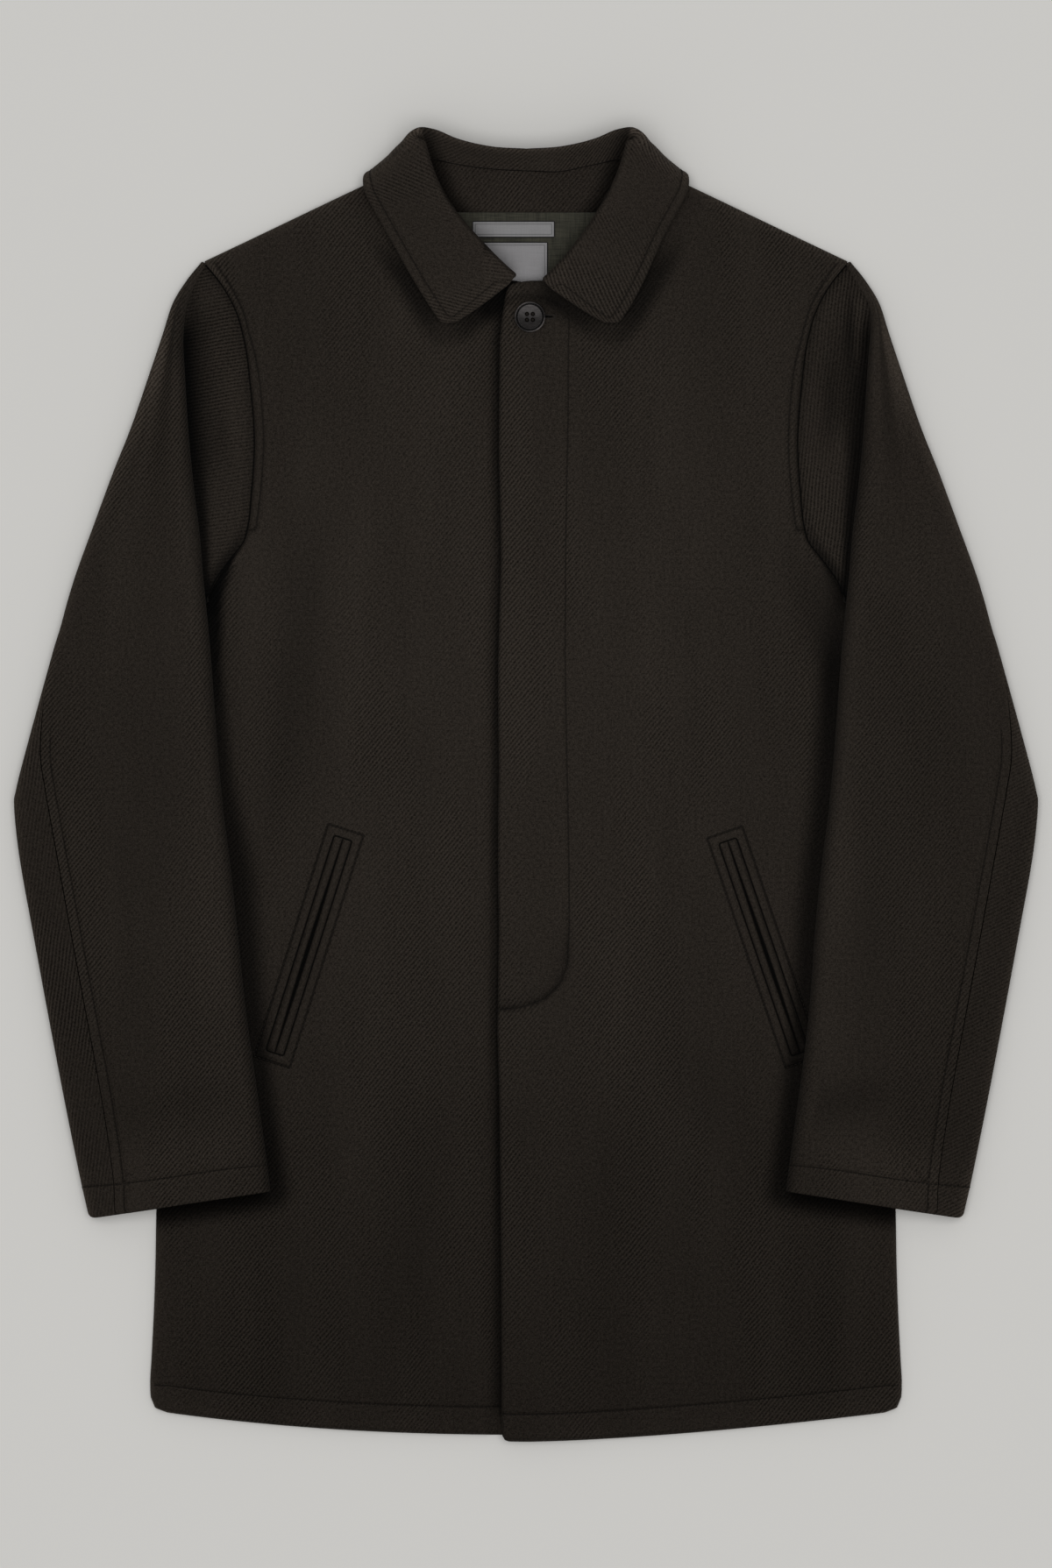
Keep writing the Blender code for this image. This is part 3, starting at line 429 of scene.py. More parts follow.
def wool_twill(name, dark, pale):
    """Coat cloth: the weave's tone between two colours, with painted shade in seams and each piece's painted
    light and shade, a dry face and a nap sheen.
    """
    material, tree, shader = new_material(name)
    cloth = add_node(tree, "ShaderNodeUVMap", {}, uv_map="cloth").outputs["UV"]
    weave = placed(tree, TWILL_WEAVE, {"Cloth": cloth, "Nap": attribute(tree, "nap")})
    seams = seams_of(tree)
    light = sums(tree, "MULTIPLY", seams["Light"], attribute(tree, "shade"))
    colour = toned(tree, weave["Tone"], dark, pale, light)
    rough = eased(tree, weave["Tone"], 0.2, 0.8, 0.96, 0.82)
    height = sums(tree, "MULTIPLY_ADD", seams["Depth"], -1.0, weave["Height"])
    finished(tree, shader, colour, rough, height, strength=0.75, distance=0.00042, specular=0.05)
    shader.inputs["Sheen Weight"].default_value = 0.03
    shader.inputs["Sheen Roughness"].default_value = 0.42
    shader.inputs["Sheen Tint"].default_value = (*NAP_SHEEN, 1.0)
    return material


COAT_TWILL = wool_twill("coat_twill", TWILL_DARK, TWILL_LIGHT)


def neck_seam(x):
    """Height of the back neck seam at x: a shallow parabola less a soft dip on the wearer's left."""
    low, rise, reach = NECK_SEAM
    at, breadth, depth = NECK_DIP
    return low + rise * (x / reach) ** 2 - depth * hump(x - at, breadth)


def back_face():
    """Underside of the back: rows of the outline up to the armholes, then rows blended up to the neckline."""
    across = np.sin(np.linspace(-1.0, 1.0, 49) * np.pi / 2)
    side = np.linspace(BACK_BLEND_FROM, HEM_SIDE, 150)
    x = (outline(side) - BACK_INSET * smooth(rolled(side), 0.0, 0.4) - SEAM_GAP / 2)[:, None] * across
    down = np.clip((HEM_START - side) / (HEM_START - HEM_SIDE), 0.0, 1.0)[:, None]
    foot = hem_line("right", x) + BACK_HEM_RISE
    y = np.where(down > 0, HEM_START - down * (HEM_START - foot), side[:, None])
    top_x = (SHOULDER_TIP[0] - BACK_TIP_INSET) * across
    along = (np.abs(top_x) - SHOULDER_NECK[0]) / (SHOULDER_TIP[0] - SHOULDER_NECK[0])
    shoulder = SHOULDER_NECK[1] - along * (SHOULDER_NECK[1] - SHOULDER_TIP[1]) - BACK_SHOULDER_INSET
    top_y = np.minimum(shoulder, neck_seam(top_x) + 1.0)
    blend = np.linspace(0.0, 1.0, 24)[:-1, None]
    x = np.concatenate([top_x * (1 - blend) + x[:1] * blend, x])
    y = np.concatenate([top_y * (1 - blend) + y[:1] * blend, y])
    return np.stack([x, y, lift(y)], -1)


back = back_face()
back_plan = back[..., :2] * np.array([-1.0, 1.0])
back_hem = np.linspace(-BACK_HEM_HALF, BACK_HEM_HALF, 80)
back_hem = np.stack([back_hem, hem_line("right", back_hem) + BACK_HEM_RISE + BACK_HEM_STITCH], -1)
back_piece = cloth_shell("back_cloth", back, back_plan, BACK_CLOTH, COAT_TWILL, up=-1.0,
                         stitch=line_distance(back[..., :2], back_hem))
lay(back_piece, back, back_plan, ["floor"], "shell_twill", "back")


# Lining, neck facing and labels
# Inside the back neck: a strip of the coat's own twill under the collar seam, below it a plain-woven lining
# in grey green, and on the lining two woven labels left bare, each sewn down along its edges.

FACING_CLOTH = 2.0
FACING_HALF = 79.0
FACING_FOOT = 411.5
LINING_CLOTH = 1.0
LINING_HALF = 66.0
LINING_FOOT = 345.0
LINING_PITCH = 1.15
LINING_DARK = (0.0036, 0.0035, 0.0021)
LINING_LIGHT = (0.0350, 0.0334, 0.0221)
LINING_GLOSS = 0.72
# The lining's puckers are flat from here up to the facing
PUCKERS_END = (400.0, 410.0)
LABEL_CLOTH = 0.8
LABEL_WALL = 0.3
LABEL_LIFT = 0.25
LABEL_PITCH = 0.55
LABEL_GLOSS = 0.5
# The labels' turned edges: share of the cloth at the edge, and how far in the whole of it stands
LABEL_EDGE = (0.35, 1.6)
LABEL_STITCH = 1.5
LABELS = {"label_small": (-38.0, 20.0, 394.0, 404.5), "label_large": (-32.5, 15.0, 356.0, 389.5)}
LABEL_TINTS = {"label_small": (0.172, 0.170, 0.172), "label_large": (0.179, 0.175, 0.179)}
# Where the collar's leaves fold over beside the facing: half width and y
LEAF_FOLD = [(75.4, 470.0), (73.4, 464.0), (71.4, 458.0), (65.2, 441.5), (57.7, 420.7), (47.0, 407.0),
             (31.0, 389.3)]
FOLD_SHADE = (1.5, 15.0, 0.65)
# Soft puckers of the lining: x, breadth and height of upright ridges
LINING_PUCKERS = [(-44, 5.0, 0.5), (29, 4.0, 0.8), (37, 3.0, 0.6), (45, 5.0, 0.7), (-52, 3.5, 0.6),
                  (3, 9.0, 0.3)]


def plain_weave():
    """Group for plain-woven cloth: the product of two cosines as its threads, and uneven slubs along each."""
    group, given, result = new_group("plain_weave", {"Cloth": "Vector", "Threads": "Float"},
                                     {"Tone": "Float", "Height": "Float"})
    cloth = given["Cloth"]
    axes = add_node(group, "ShaderNodeSeparateXYZ", {"Vector": cloth}).outputs
    turns = sums(group, "MULTIPLY", given["Threads"], 2 * np.pi)
    warp = sums(group, "COSINE", sums(group, "MULTIPLY", axes["X"], turns))
    weft = sums(group, "COSINE", sums(group, "MULTIPLY", axes["Y"], turns))
    over = sums(group, "MULTIPLY", warp, weft)
    across_slub = noise(group, scaled(group, cloth, (60.0, 1300.0, 0.0)), 1.0)
    upright_slub = noise(group, scaled(group, cloth, (1300.0, 60.0, 0.0)), 1.0)
    slubs = sums(group, "ADD", across_slub, upright_slub)
    tone = sums(group, "MULTIPLY_ADD", over, 0.10, sums(group, "MULTIPLY_ADD", slubs, 0.95, -0.57))
    tone = sums(group, "MULTIPLY_ADD", noise(group, cloth, 60.0), 0.25, tone)
    group.links.new(tone, result["Tone"])
    group.links.new(sums(group, "MULTIPLY_ADD", slubs, 1.2, over), result["Height"])
    return group


PLAIN_WEAVE = plain_weave()


def woven(name, pitch, dark, pale, gloss):
    """Plain-woven cloth between two colours, with painted shade along its seams and a smooth thread's slight
    gloss.
    """
    material, tree, shader = new_material(name)
    cloth = add_node(tree, "ShaderNodeUVMap", {}, uv_map="cloth").outputs["UV"]
    weave = placed(tree, PLAIN_WEAVE, {"Cloth": cloth, "Threads": 1.0 / (pitch * MM)})
    seams = seams_of(tree)
    colour = toned(tree, weave["Tone"], dark, pale, seams["Light"])
    rough = eased(tree, weave["Tone"], 0.0, 1.0, gloss + 0.12, gloss)
    height = sums(tree, "MULTIPLY_ADD", seams["Depth"], -1.5, weave["Height"])
    finished(tree, shader, colour, rough, height, strength=0.5, distance=0.0002, specular=0.2)
    shader.inputs["Sheen Weight"].default_value = 0.05
    return material


def flat_face(left, right, head, foot, columns, rows, height):
    """A piece lying in the neck: columns between two x, rows from its head, a function of x, to its foot."""
    x = np.linspace(left, right, columns)[None, :] * np.ones((rows, 1))
    y = foot + (head(x) - foot) * np.linspace(1.0, 0.0, rows)[:, None]
    return np.stack([x, y, lift(y) + height(x, y)], -1)


def light_left(plan, line, near, far, depth):
    """Share of light on cloth beside an edge lying over it: 1 - depth up to near, all of it past far."""
    gap = np.abs(from_line(plan, np.array(line, float))[0])
    return 1.0 - depth * (1.0 - smooth(gap, near, far))


def puckered(x, y):
    """Height of the lining: a sum of upright ridges, each a Gaussian in x that fades towards the facing."""
    ridges = sum(high * hump(x - at, breadth) for at, breadth, high in LINING_PUCKERS)
    return BACK_CLOTH + SEAM_GAP + LINING_CLOTH + ridges * (1.0 - smooth(y, *PUCKERS_END))


def facing_height(x, y):
    """Height of the facing: its cloth on the back, rounded off at its foot."""
    return BACK_CLOTH + SEAM_GAP + FACING_CLOTH * np.sqrt(smooth(y, FACING_FOOT - 1, FACING_FOOT + 3))


facing = flat_face(-FACING_HALF, FACING_HALF, lambda x: neck_seam(x) + 0.5, FACING_FOOT, 61, 25,
                   facing_height)
facing_plan = np.stack([np.abs(facing[..., 0]), facing[..., 1]], -1)
facing_piece = cloth_shell("neck_facing_cloth", facing, facing[..., :2], FACING_CLOTH * 0.7, COAT_TWILL,
                           shade=light_left(facing_plan, LEAF_FOLD, *FOLD_SHADE), nap=-0.6,
                           seam=stretched((neck_seam(facing[..., 0]) - facing[..., 1]) * 1.5 + 0.8))
lay(facing_piece, facing, facing[..., :2], ["back"], "shell_twill", "neck_facing")

lining = flat_face(-LINING_HALF, LINING_HALF, lambda x: FACING_FOOT - SEAM_GAP + 0.0 * x, LINING_FOOT,
                   121, 41, puckered)
label_frames = []
for left, right, foot, head in LABELS.values():
    frame_x = np.array([left, right, right, left, left])
    frame_y = np.array([head, head, foot, foot, head])
    label_frames.append(np.stack([frame_x, frame_y], -1))
LINING_GREEN = woven("lining_green", LINING_PITCH, LINING_DARK, LINING_LIGHT, LINING_GLOSS)
lining_piece = cloth_shell("lining_cloth", lining, lining[..., :2], LINING_CLOTH, LINING_GREEN,
                           seam=line_distance(lining[..., :2], *label_frames))
lay(lining_piece, lining, lining[..., :2], ["back"], "lining_cloth", "lining_back")

for name, (left, right, foot, head) in LABELS.items():
    label = flat_face(left, right, lambda x: head + 0.0 * x, foot, 61, 31, lambda x, y: 0.0 * x)
    inside = np.minimum(np.minimum(label[..., 0] - left, right - label[..., 0]),
                        np.minimum(label[..., 1] - foot, head - label[..., 1]))
    standing = LABEL_EDGE[0] + (1.0 - LABEL_EDGE[0]) * smooth(inside, 0.0, LABEL_EDGE[1])
    label[..., 2] += BACK_CLOTH + SEAM_GAP + LINING_CLOTH + LABEL_LIFT + LABEL_CLOTH * standing
    label[..., 2] += 0.12 * np.sin(label[..., 0] / 7.0 + label[..., 1] / 11.0)
    tint = np.array(LABEL_TINTS[name])
    label_weave = woven(name + "_weave", LABEL_PITCH, tint * 0.9, tint * 1.09, LABEL_GLOSS)
    label_piece = cloth_shell(name + "_cloth", label, label[..., :2], LABEL_WALL, label_weave,
                              stitch=(inside - LABEL_STITCH) * 1.6)
    lay(label_piece, label, label[..., :2], ["lining_back"], "label_cloth", name)


# Fronts
# Two panels of the coat twill on top of the back, turned round at the side, shoulder and hem. The left one
# laps over the right; its front edge is a folded fly of several layers, sewn down by a J-shaped line.

FRONT_CLOTH = 2.4
BODY_TOP = 8.4
EDGE_ROLL = 6.0
HEM_ROLL = 3.8
FOLD_ROLL = 3.0
NECKLINE = [(446, 87.5), (434, 83.0), (422, 77.0), (397, 60.0), (375, 35.0)]
FRONT_EDGE = {
    "right": [(363, 13.0), (359, -8.0), (352, -18.0), (340, -22.0), (-480, -22.0)],
    "left": [(362, 13.0), (361.5, -6.0), (360, -10.8), (358.6, -12.8), (353, -14.5), (347.4, -15.6),
             (336, -17.3), (325, -18.4), (320, -18.9), (274, -19.4), (236, -19.6), (198, -18.6), (161, -18.0),
             (123, -19.2), (85, -20.1), (47, -20.0), (9, -19.6), (-28, -20.2), (-66, -20.2), (-104, -19.6),
             (-142, -20.1), (-180, -20.6), (-217, -19.4), (-293, -18.5), (-331, -18.1), (-406, -17.7),
             (-444.5, -17.8), (-448.5, -16.9), (-451, -15.0), (-452, -12.0)],
}
UNDERLAP_DIP = 1.6
UNDERLAP_RAMP = (18.0, 36.0)
UNDERLAP_TOP = (335.0, 355.0)
UNDERLAP_EASE = 0.4
FLY_RISE = 2.8
FLY_RAMP = (28.0, 66.0)
# Soft folds: half width and y at the upper end, the same at the lower end, half breadth, height
FRONT_FOLDS = {
    "right": [(152, 185, 184, -45, 15, -2.0), (120, 180, 132, 0, 16, 0.7), (144, 372, 158, 300, 20, -1.0),
              (58, 250, 66, -40, 13, -0.5), (76, -250, 82, -385, 23, -1.3), (123, -215, 126, -330, 19, 0.9),
              (168, -330, 148, -405, 26, -0.8), (214, -20, 232, -250, 14, -0.6),
              (205, -340, 212, -440, 13, 0.6)],
    "left": [(128, 374, 142, 296, 23, -1.1), (168, 210, 162, 150, 13, -1.1), (92, 160, 84, -60, 14, 0.5),
             (76, -70, 64, -225, 17, 1.2), (112, -185, 152, -265, 21, -1.2), (150, 60, 160, -70, 16, -0.5),
             (70, -270, 58, -430, 18, -0.6), (168, -300, 180, -430, 18, 0.6),
             (215, -300, 222, -440, 11, -0.5), (190, 172, 212, 88, 13, -2.0)],
}
FOLD_FADE = 60.0
FOLD_LIGHT = 0.11
# Where the sleeve, with its cuff, and the collar lie over a front: points of their edges, half width and y
SLEEVE_OVER = [(236, 168), (230, 131), (226, 88), (221.2, 23), (216.6, -25), (212.4, -57), (207.2, -105),
               (201.5, -159), (193.5, -217), (186.1, -271), (183.5, -292.5), (240, -301), (314, -312.2)]
# The left sleeve lies further out towards its cuff: by how much, from which heights, within what half width
CREST_SHIFT = {"right": 0.0, "left": 3.2}
CREST_SHIFT_FROM = (80.0, 200.0)
CREST_SHIFT_WITHIN = 230.0
UNDERARM_SEAM = [(203, 174), (213, 162), (226, 144), (229, 131)]
# Light kept off a front by the sleeve: y, and there full up to one distance, none past the other, its depth
SLEEVE_SHADOW = {
    "right": [(123, 8.0, 15.0, 0.95), (85, 3.5, 10.5, 0.92), (44, 2.5, 13.5, 0.76), (-3, 3.0, 15.0, 0.75),
              (-66, 6.0, 27.0, 0.72), (-130, 5.5, 22.0, 0.72), (-200, 5.0, 17.5, 0.73),
              (-268, 5.0, 18.0, 0.77), (-300, 5.0, 20.0, 0.73)],
    "left": [(134, 0.0, 40.0, 0.6), (85, 7.0, 22.0, 0.86), (6, 4.5, 21.0, 0.77), (-66, 5.0, 21.0, 0.72),
             (-161, 5.0, 19.0, 0.72), (-268, 5.0, 18.0, 0.76), (-300, 5.0, 20.0, 0.73)],
}
UNDERARM_SHADE = {"right": (7.0, 14.0, 0.96), "left": (1.0, 11.0, 0.6)}
# That shade narrows up the underarm seam, by a share between two heights, and ends between two more
UNDERARM_NARROW = (0.8, 138.0, 166.0)
UNDERARM_END = (160.0, 177.0)
# Light caught by the nap on rolled edges: at the shoulder, side and hem, and where the shoulder's begins
EDGE_GLOW = (2.2, 1.6, 0.6)
SHOULDER_FROM = (300.0, 370.0)
# More light on the turned hem and on the foot of the side, with the distances and heights where it fades
HEM_LIGHT = (0.1, 16.0, 23.0)
SIDE_LIGHT = (0.12, 15.0, 60.0)
SIDE_LIGHT_BELOW = (-330.0, -290.0)
COLLAR_OVER = {
    "right": [(118, 434), (115, 426), (108, 412), (94, 387), (76, 357), (65, 339), (58, 331), (50, 333),
              (10, 364)],
    "left": [(118, 434), (115, 426), (109, 412), (98, 387), (82, 357), (71, 339), (64, 331), (56, 333),
             (12, 360.5)],
}
# Shade beside the collar, and the share it loses near the shoulder, below a leaf's point and at the neck
COLLAR_SHADE = (7.5, 20.5, 0.7)
SHOULDER_LOSS = (0.85, 366.0, 398.0)
POINT_LOSS = (0.55, 58.0, 325.0, 14.0)
NECK_LOSS = (0.85, 2.0, 11.0, 356.0, 13.0)
# The open corner between the leaf and the fly's top, where little light falls, and the shade beside the fly
THROAT = [(26, 342), (19, 349), (13, 358)]
THROAT_SHADE = (2.0, 13.0, 0.75)
FLY_SHADE = (1.6, 7.6, 0.72)
# The cloth sinks beside those edges, depth and half breadth, and beside the fly, with its x first
SLEEVE_TROUGH = (3.4, 13.0)
COLLAR_TROUGH = (1.6, 12.0)
FLY_TROUGH = (21.6, 3.2, 4.6)
# Soft crease below the fly's top edge: x and y of its middle, fall to the sides, half breadth, depth
FLY_CREASE = (2.7, 351.2, 0.014, 2.6, 0.9)
FLY_CREASE_END = (20.0, 34.0)
FLY_CREASE_SHADE = 0.4
FLY_FOLD_SHADE = 0.35
# The nap covers the ribs on the chest, x and y each with a reach, and round the pockets, whose ends these are
CHEST_NAP = (125.0, 75.0, 205.0, 120.0)
POCKET_NAP = 42.0
POCKETS = {"right": ((131.7, -39.4), (180.4, -192.5)), "left": ((145.2, -41.3), (197.0, -192.5))}
# The armhole's padded band, inset, half breadth and height, and its rounded edge; the band is worn: share of
# nap lost, full and none at these distances
ARMHOLE_BAND = (3.6, 2.3, 0.9)
ARMHOLE_EDGE = 2.4
BAND_WEAR = (0.5, 6.0, 10.0)
# Lines of stitching as half width and y, and the shade along each: depth and half breadth
STITCH_STEP = 4.0
HEM_STITCH = 20.0
HEM_STITCH_FROM = 268.0
HEM_STITCH_TO = {"right": -21.0, "left": -17.5}
ARMHOLE_STITCH = [(223.6, 375.0), (214.6, 362.0), (204.0, 342.0), (197.8, 320.0), (192.9, 300.0),
                  (189.5, 270.0), (188.5, 247.0), (189.7, 222.0), (191.7, 202.0), (194.0, 184.0)]
ARMHOLE_LINE = (0.22, 1.3)
ARMHOLE_BAR = [(193.4, 182.8), (201.0, 182.8)]
BAR_LINE = (0.35, 1.2)
FLY_STITCH = [(30.9, 353.4), (30.2, 266.0), (28.6, 176.0), (28.4, 86.0), (29.6, 13.0), (30.9, -70.0),
              (30.9, -110.0), (29.6, -128.0), (24.8, -142.0), (16.4, -151.5), (2.0, -158.6), (-10.0, -161.2),
              (-19.5, -162.2)]
FLY_LINE = (0.45, 1.8)
FLY_LINE_INSIDE = (0.25, 8.0)
FLY_CURVE_BELOW = (-135.0, -80.0)
THREAD_TINT = (0.0058, 0.0046, 0.0036)
SIDES = {"right": -1.0, "left": 1.0}


def edge_slope(y):
    """How much of a step across a row counts as a step square to the outline."""
    run = SHOULDER_TIP[0] - SHOULDER_NECK[0]
    rise = SHOULDER_NECK[1] - SHOULDER_TIP[1]
    return np.where(y > SHOULDER_TIP[1], rise / np.hypot(run, rise), 1.0)


def sleeve_over(side):
    """The edge of the sleeve and its cuff over a front; the left sleeve lies further out towards its cuff."""
    line = np.array(SLEEVE_OVER, float)
    within = line[:, 0] < CREST_SHIFT_WITHIN
    line[:, 0] += CREST_SHIFT[side] * smooth(-line[:, 1], *CREST_SHIFT_FROM) * within
    return line


def ridges(folds, x, y):
    """Height of soft folds: each a Gaussian across a straight line that fades in and out at its two ends."""
    z = np.zeros(np.broadcast(x, y).shape)
    for x0, y0, x1, y1, breadth, height in folds:
        length = np.hypot(x1 - x0, y1 - y0)
        run = ((x - x0) * (x1 - x0) + (y - y0) * (y1 - y0)) / length
        away = ((x - x0) * (y1 - y0) - (y - y0) * (x1 - x0)) / length
        fade_out = min(FOLD_FADE, length / 2)
        fade = smooth(run, -fade_out, fade_out) * (1.0 - smooth(run, length - fade_out, length + fade_out))
        z = z + height * fade * hump(away, breadth)
    return z


def edge_light(gap, strength, reach=2.6, power=1.3):
    """Share of light on a rolled edge, where the nap catches it: 1 and an exponential of the distance."""
    return 1.0 + strength * np.exp(-(np.maximum(gap, 0.0) / reach) ** power)


def line_light(gap, depth, breadth):
    """Share of light along a line: 1 less a Gaussian of the distance."""
    return 1.0 - depth * hump(gap, breadth)


def fly_crease(x, y):
    """1 along the soft crease below the fly's top: a Gaussian across a parabola, fading towards the side."""
    at, level, fall, breadth = FLY_CREASE[:4]
    return hump(y - level + fall * (x - at) ** 2, breadth) * (1.0 - smooth(x, *FLY_CREASE_END))


def front_top(side, x, y):
    """Height of a front's face away from its edges: the body, its folds, the fly's rise or the lap's dip."""
    z = BODY_TOP + lift(y) + ridges(FRONT_FOLDS[side], x, y)
    plan = np.stack(np.broadcast_arrays(x, y), -1).astype(float)
    for line, (depth, breadth) in ((sleeve_over(side), SLEEVE_TROUGH), (COLLAR_OVER[side], COLLAR_TROUGH)):
        gap = from_line(plan, np.array(line, float))[0]
        z = z - depth * hump(gap, breadth)
    if side == "left":
        return z + FLY_RISE * (1.0 - smooth(x, *FLY_RAMP)) - FLY_CREASE[-1] * fly_crease(x, y)
    ease = 1.0 - UNDERLAP_EASE * smooth(y, *UNDERLAP_TOP)
    at, depth, breadth = FLY_TROUGH
    z = z - depth * hump(x - at, breadth) * (1.0 - smooth(y, *UNDERLAP_TOP))
    return z - UNDERLAP_DIP * (1.0 - smooth(x, *UNDERLAP_RAMP)) * ease


def quarter_drop(share):
    """How far a quarter circle of radius 1 falls at a share of the way out: 1 - sqrt(1 - share^2)."""
    return 1.0 - np.sqrt(1.0 - share ** 2)


def front_height(side, x, y):
    """A front's outer face over plan points: its top, turned down by quarter ellipses at its rolled edges.

    Along the armhole seam the edge is rounded by a quarter circle, and a padded band stands up inside it.
    """
    inside = outline(y) - x
    turn = np.clip(inside * edge_slope(y) / EDGE_ROLL, 0.0, 1.0)
    drop = rolled(y) * quarter_drop(1.0 - turn)
    to_hem = np.clip((y - hem_line(side, x)) / HEM_ROLL, 0.0, 1.0)
    rise = (front_top(side, x, y) - lift(y)) * (1.0 - drop) * (1.0 - quarter_drop(1.0 - to_hem))
    at, breadth, height = ARMHOLE_BAND
    brink = np.clip(1.0 - inside / ARMHOLE_EDGE, 0.0, 1.0)
    band = height * hump(inside - at, breadth) - ARMHOLE_EDGE * quarter_drop(brink)
    return lift(y) + rise + band * (1.0 - rolled(y))


def front_face(side, across, row):
    """Outer face of a front over two parameters.

    across runs 0 to 1 over the rolled outer edge, 1 to 2 over the panel and 2 to 3 down the fold of the front
    edge; row is the height at the side seam, and rows bend to the hem curve below HEM_START.
    """
    edge = np.array(NECKLINE + FRONT_EDGE[side])
    inner = np.interp(-row, -edge[:, 0], edge[:, 1])
    outer = outline(row)
    width = outer - inner
    roll = np.minimum(EDGE_ROLL / edge_slope(row), 0.4 * width)
    fold = np.minimum(FOLD_ROLL, 0.2 * width)
    turn = np.clip(across, 0.0, 1.0) * np.pi / 2
    tuck = np.clip(across - 2.0, 0.0, 1.0) * np.pi / 2
    plain = np.clip(across - 1.0, 0.0, 1.0)
    x = outer - roll * (1 - np.cos(turn)) - plain * (width - roll - fold) - fold * np.sin(tuck)
    down = np.clip((HEM_START - row) / (HEM_START - HEM_SIDE), 0.0, 1.0)
    y = np.where(row > HEM_START, row, HEM_START - down * (HEM_START - hem_line(side, x)))
    z = front_height(side, x, y)
    if side == "left":
        z = z - fold * (1 - np.cos(tuck)) * np.clip((y - hem_line(side, x)) / HEM_ROLL, 0.0, 1.0)
    return np.stack([x, y, z], -1)


def run_along(points, axis):
    """Length along one axis of a grid from its start."""
    steps = np.linalg.norm(np.diff(points, axis=axis), axis=-1)
    zero = np.zeros_like(np.take(steps, [0], axis=axis))
    return np.concatenate([zero, np.cumsum(steps, axis=axis)], axis=axis)


def cloth_map(face, first, last, sense=1.0):
    """Flat cloth coordinates of a grid.

    At column first they are the plan position; from there each row is unrolled to its length along the plan
    direction from column first to column last, or against it where sense is -1.
    """
    run = run_along(face, 1)
    run = (run - run[:, first:first + 1])[..., None] * np.sign(last - first) * sense
    ahead = unit(face[:, last, :2] - face[:, first, :2])[:, None, :]
    return face[:, first:first + 1, :2] + ahead * run


def smooth_line(points, step):
    """An open line through plan points, resampled about every step along a curve of its own chord lengths."""
    points = np.array(points, float)
    run = run_along(points, 0)
    at = np.linspace(0.0, run[-1], max(2, int(run[-1] / step) + 1))
    return np.stack([through(run, points[:, 0], at), through(run, points[:, 1], at)], -1)


def on_front(side, plan):
    """Points of a plan line laid on a front, and unit normals from central differences of its height."""
    x, y = plan[:, 0], plan[:, 1]
    dx = (front_height(side, x + 1.0, y) - front_height(side, x - 1.0, y)) / 2
    dy = (front_height(side, x, y + 1.0) - front_height(side, x, y - 1.0)) / 2
    n = np.stack([-dx, -dy, np.ones_like(dx)], -1)
    return np.stack([x, y, front_height(side, x, y)], -1), unit(n)


def read_at(at, run, rows):
    """Rows of a table read at lengths along it, each column by linear interpolation."""
    return np.stack([np.interp(at, run, rows[:, k]) for k in range(rows.shape[1])], -1)


def sewn(name, runs, material, pitch=3.1, length=2.45, width=0.62, lean=0.0):
    """Rows of stitches joined as one mesh.

    Each stitch is a six-sided thread along its line, thickest and highest in the middle and sunk at both
    ends; runs are (points, normals) pairs, and stitches are set at even lengths along each.
    """
    around = np.arange(6) * np.pi / 3
    u = np.array([-1.0, -0.8, -0.4, 0.0, 0.4, 0.8, 1.0])
    thick = width / 2 * np.sqrt(1.02 - u * u)
    arch = 0.34 * (1.0 - u * u) - 0.16
    meshes = []
    for points, normals in runs:
        run = run_along(points, 0)
        at = np.arange(pitch / 2, run[-1], pitch)
        place = read_at(at, run, points)
        up = read_at(at, run, normals)
        ahead = unit(read_at(at + 0.5, run, points) - read_at(at - 0.5, run, points))
        beside = np.cross(up, ahead)
        ahead = ahead * np.cos(lean) + beside * np.sin(lean)
        beside = np.cross(up, ahead)
        ring = place[:, None, None] + ahead[:, None, None] * (u * length / 2)[:, None, None]
        ring = ring + beside[:, None, None] * (thick[:, None] * np.cos(around))[..., None]
        meshes.append(ring + up[:, None, None] * (arch[:, None] + thick[:, None] * np.sin(around))[..., None])
    rings = np.concatenate(meshes)
    count, steps, sides = rings.shape[:3]
    index = np.arange(count * steps * sides).reshape(count, steps, sides)
    after = np.roll(index, -1, axis=2)
    walls = np.stack([index[:, :-1], after[:, :-1], after[:, 1:], index[:, 1:]], -1).reshape(-1, 4).tolist()
    ends = index[:, 0, ::-1].reshape(-1, sides).tolist() + index[:, -1].reshape(-1, sides).tolist()
    piece = put_mesh(name, rings, walls + ends, material)
    return piece


def thread_ply():
    """Group for sewing thread: fine noise on coordinates in metres, as the tone and height of its plies."""
    group, given, result = new_group("thread_ply", {"Place": "Vector"}, {"Ply": "Float"})
    group.links.new(noise(group, given["Place"], 2600.0), result["Ply"])
    return group


THREAD_PLY = thread_ply()


def thread_finish(name, tint):
    """Sewing thread: its plies in tone and height on object coordinates, with a slight gloss."""
    material, tree, shader = new_material(name)
    place = add_node(tree, "ShaderNodeTexCoord", {}).outputs["Object"]
    ply = placed(tree, THREAD_PLY, {"Place": place})["Ply"]
    colour = toned(tree, ply, np.array(tint) * 0.7, np.array(tint) * 1.5, 1.0)
    rough = eased(tree, ply, 0.2, 0.8, 0.8, 0.65)
    finished(tree, shader, colour, rough, ply, strength=0.4, distance=0.0001, specular=0.08)
    return material


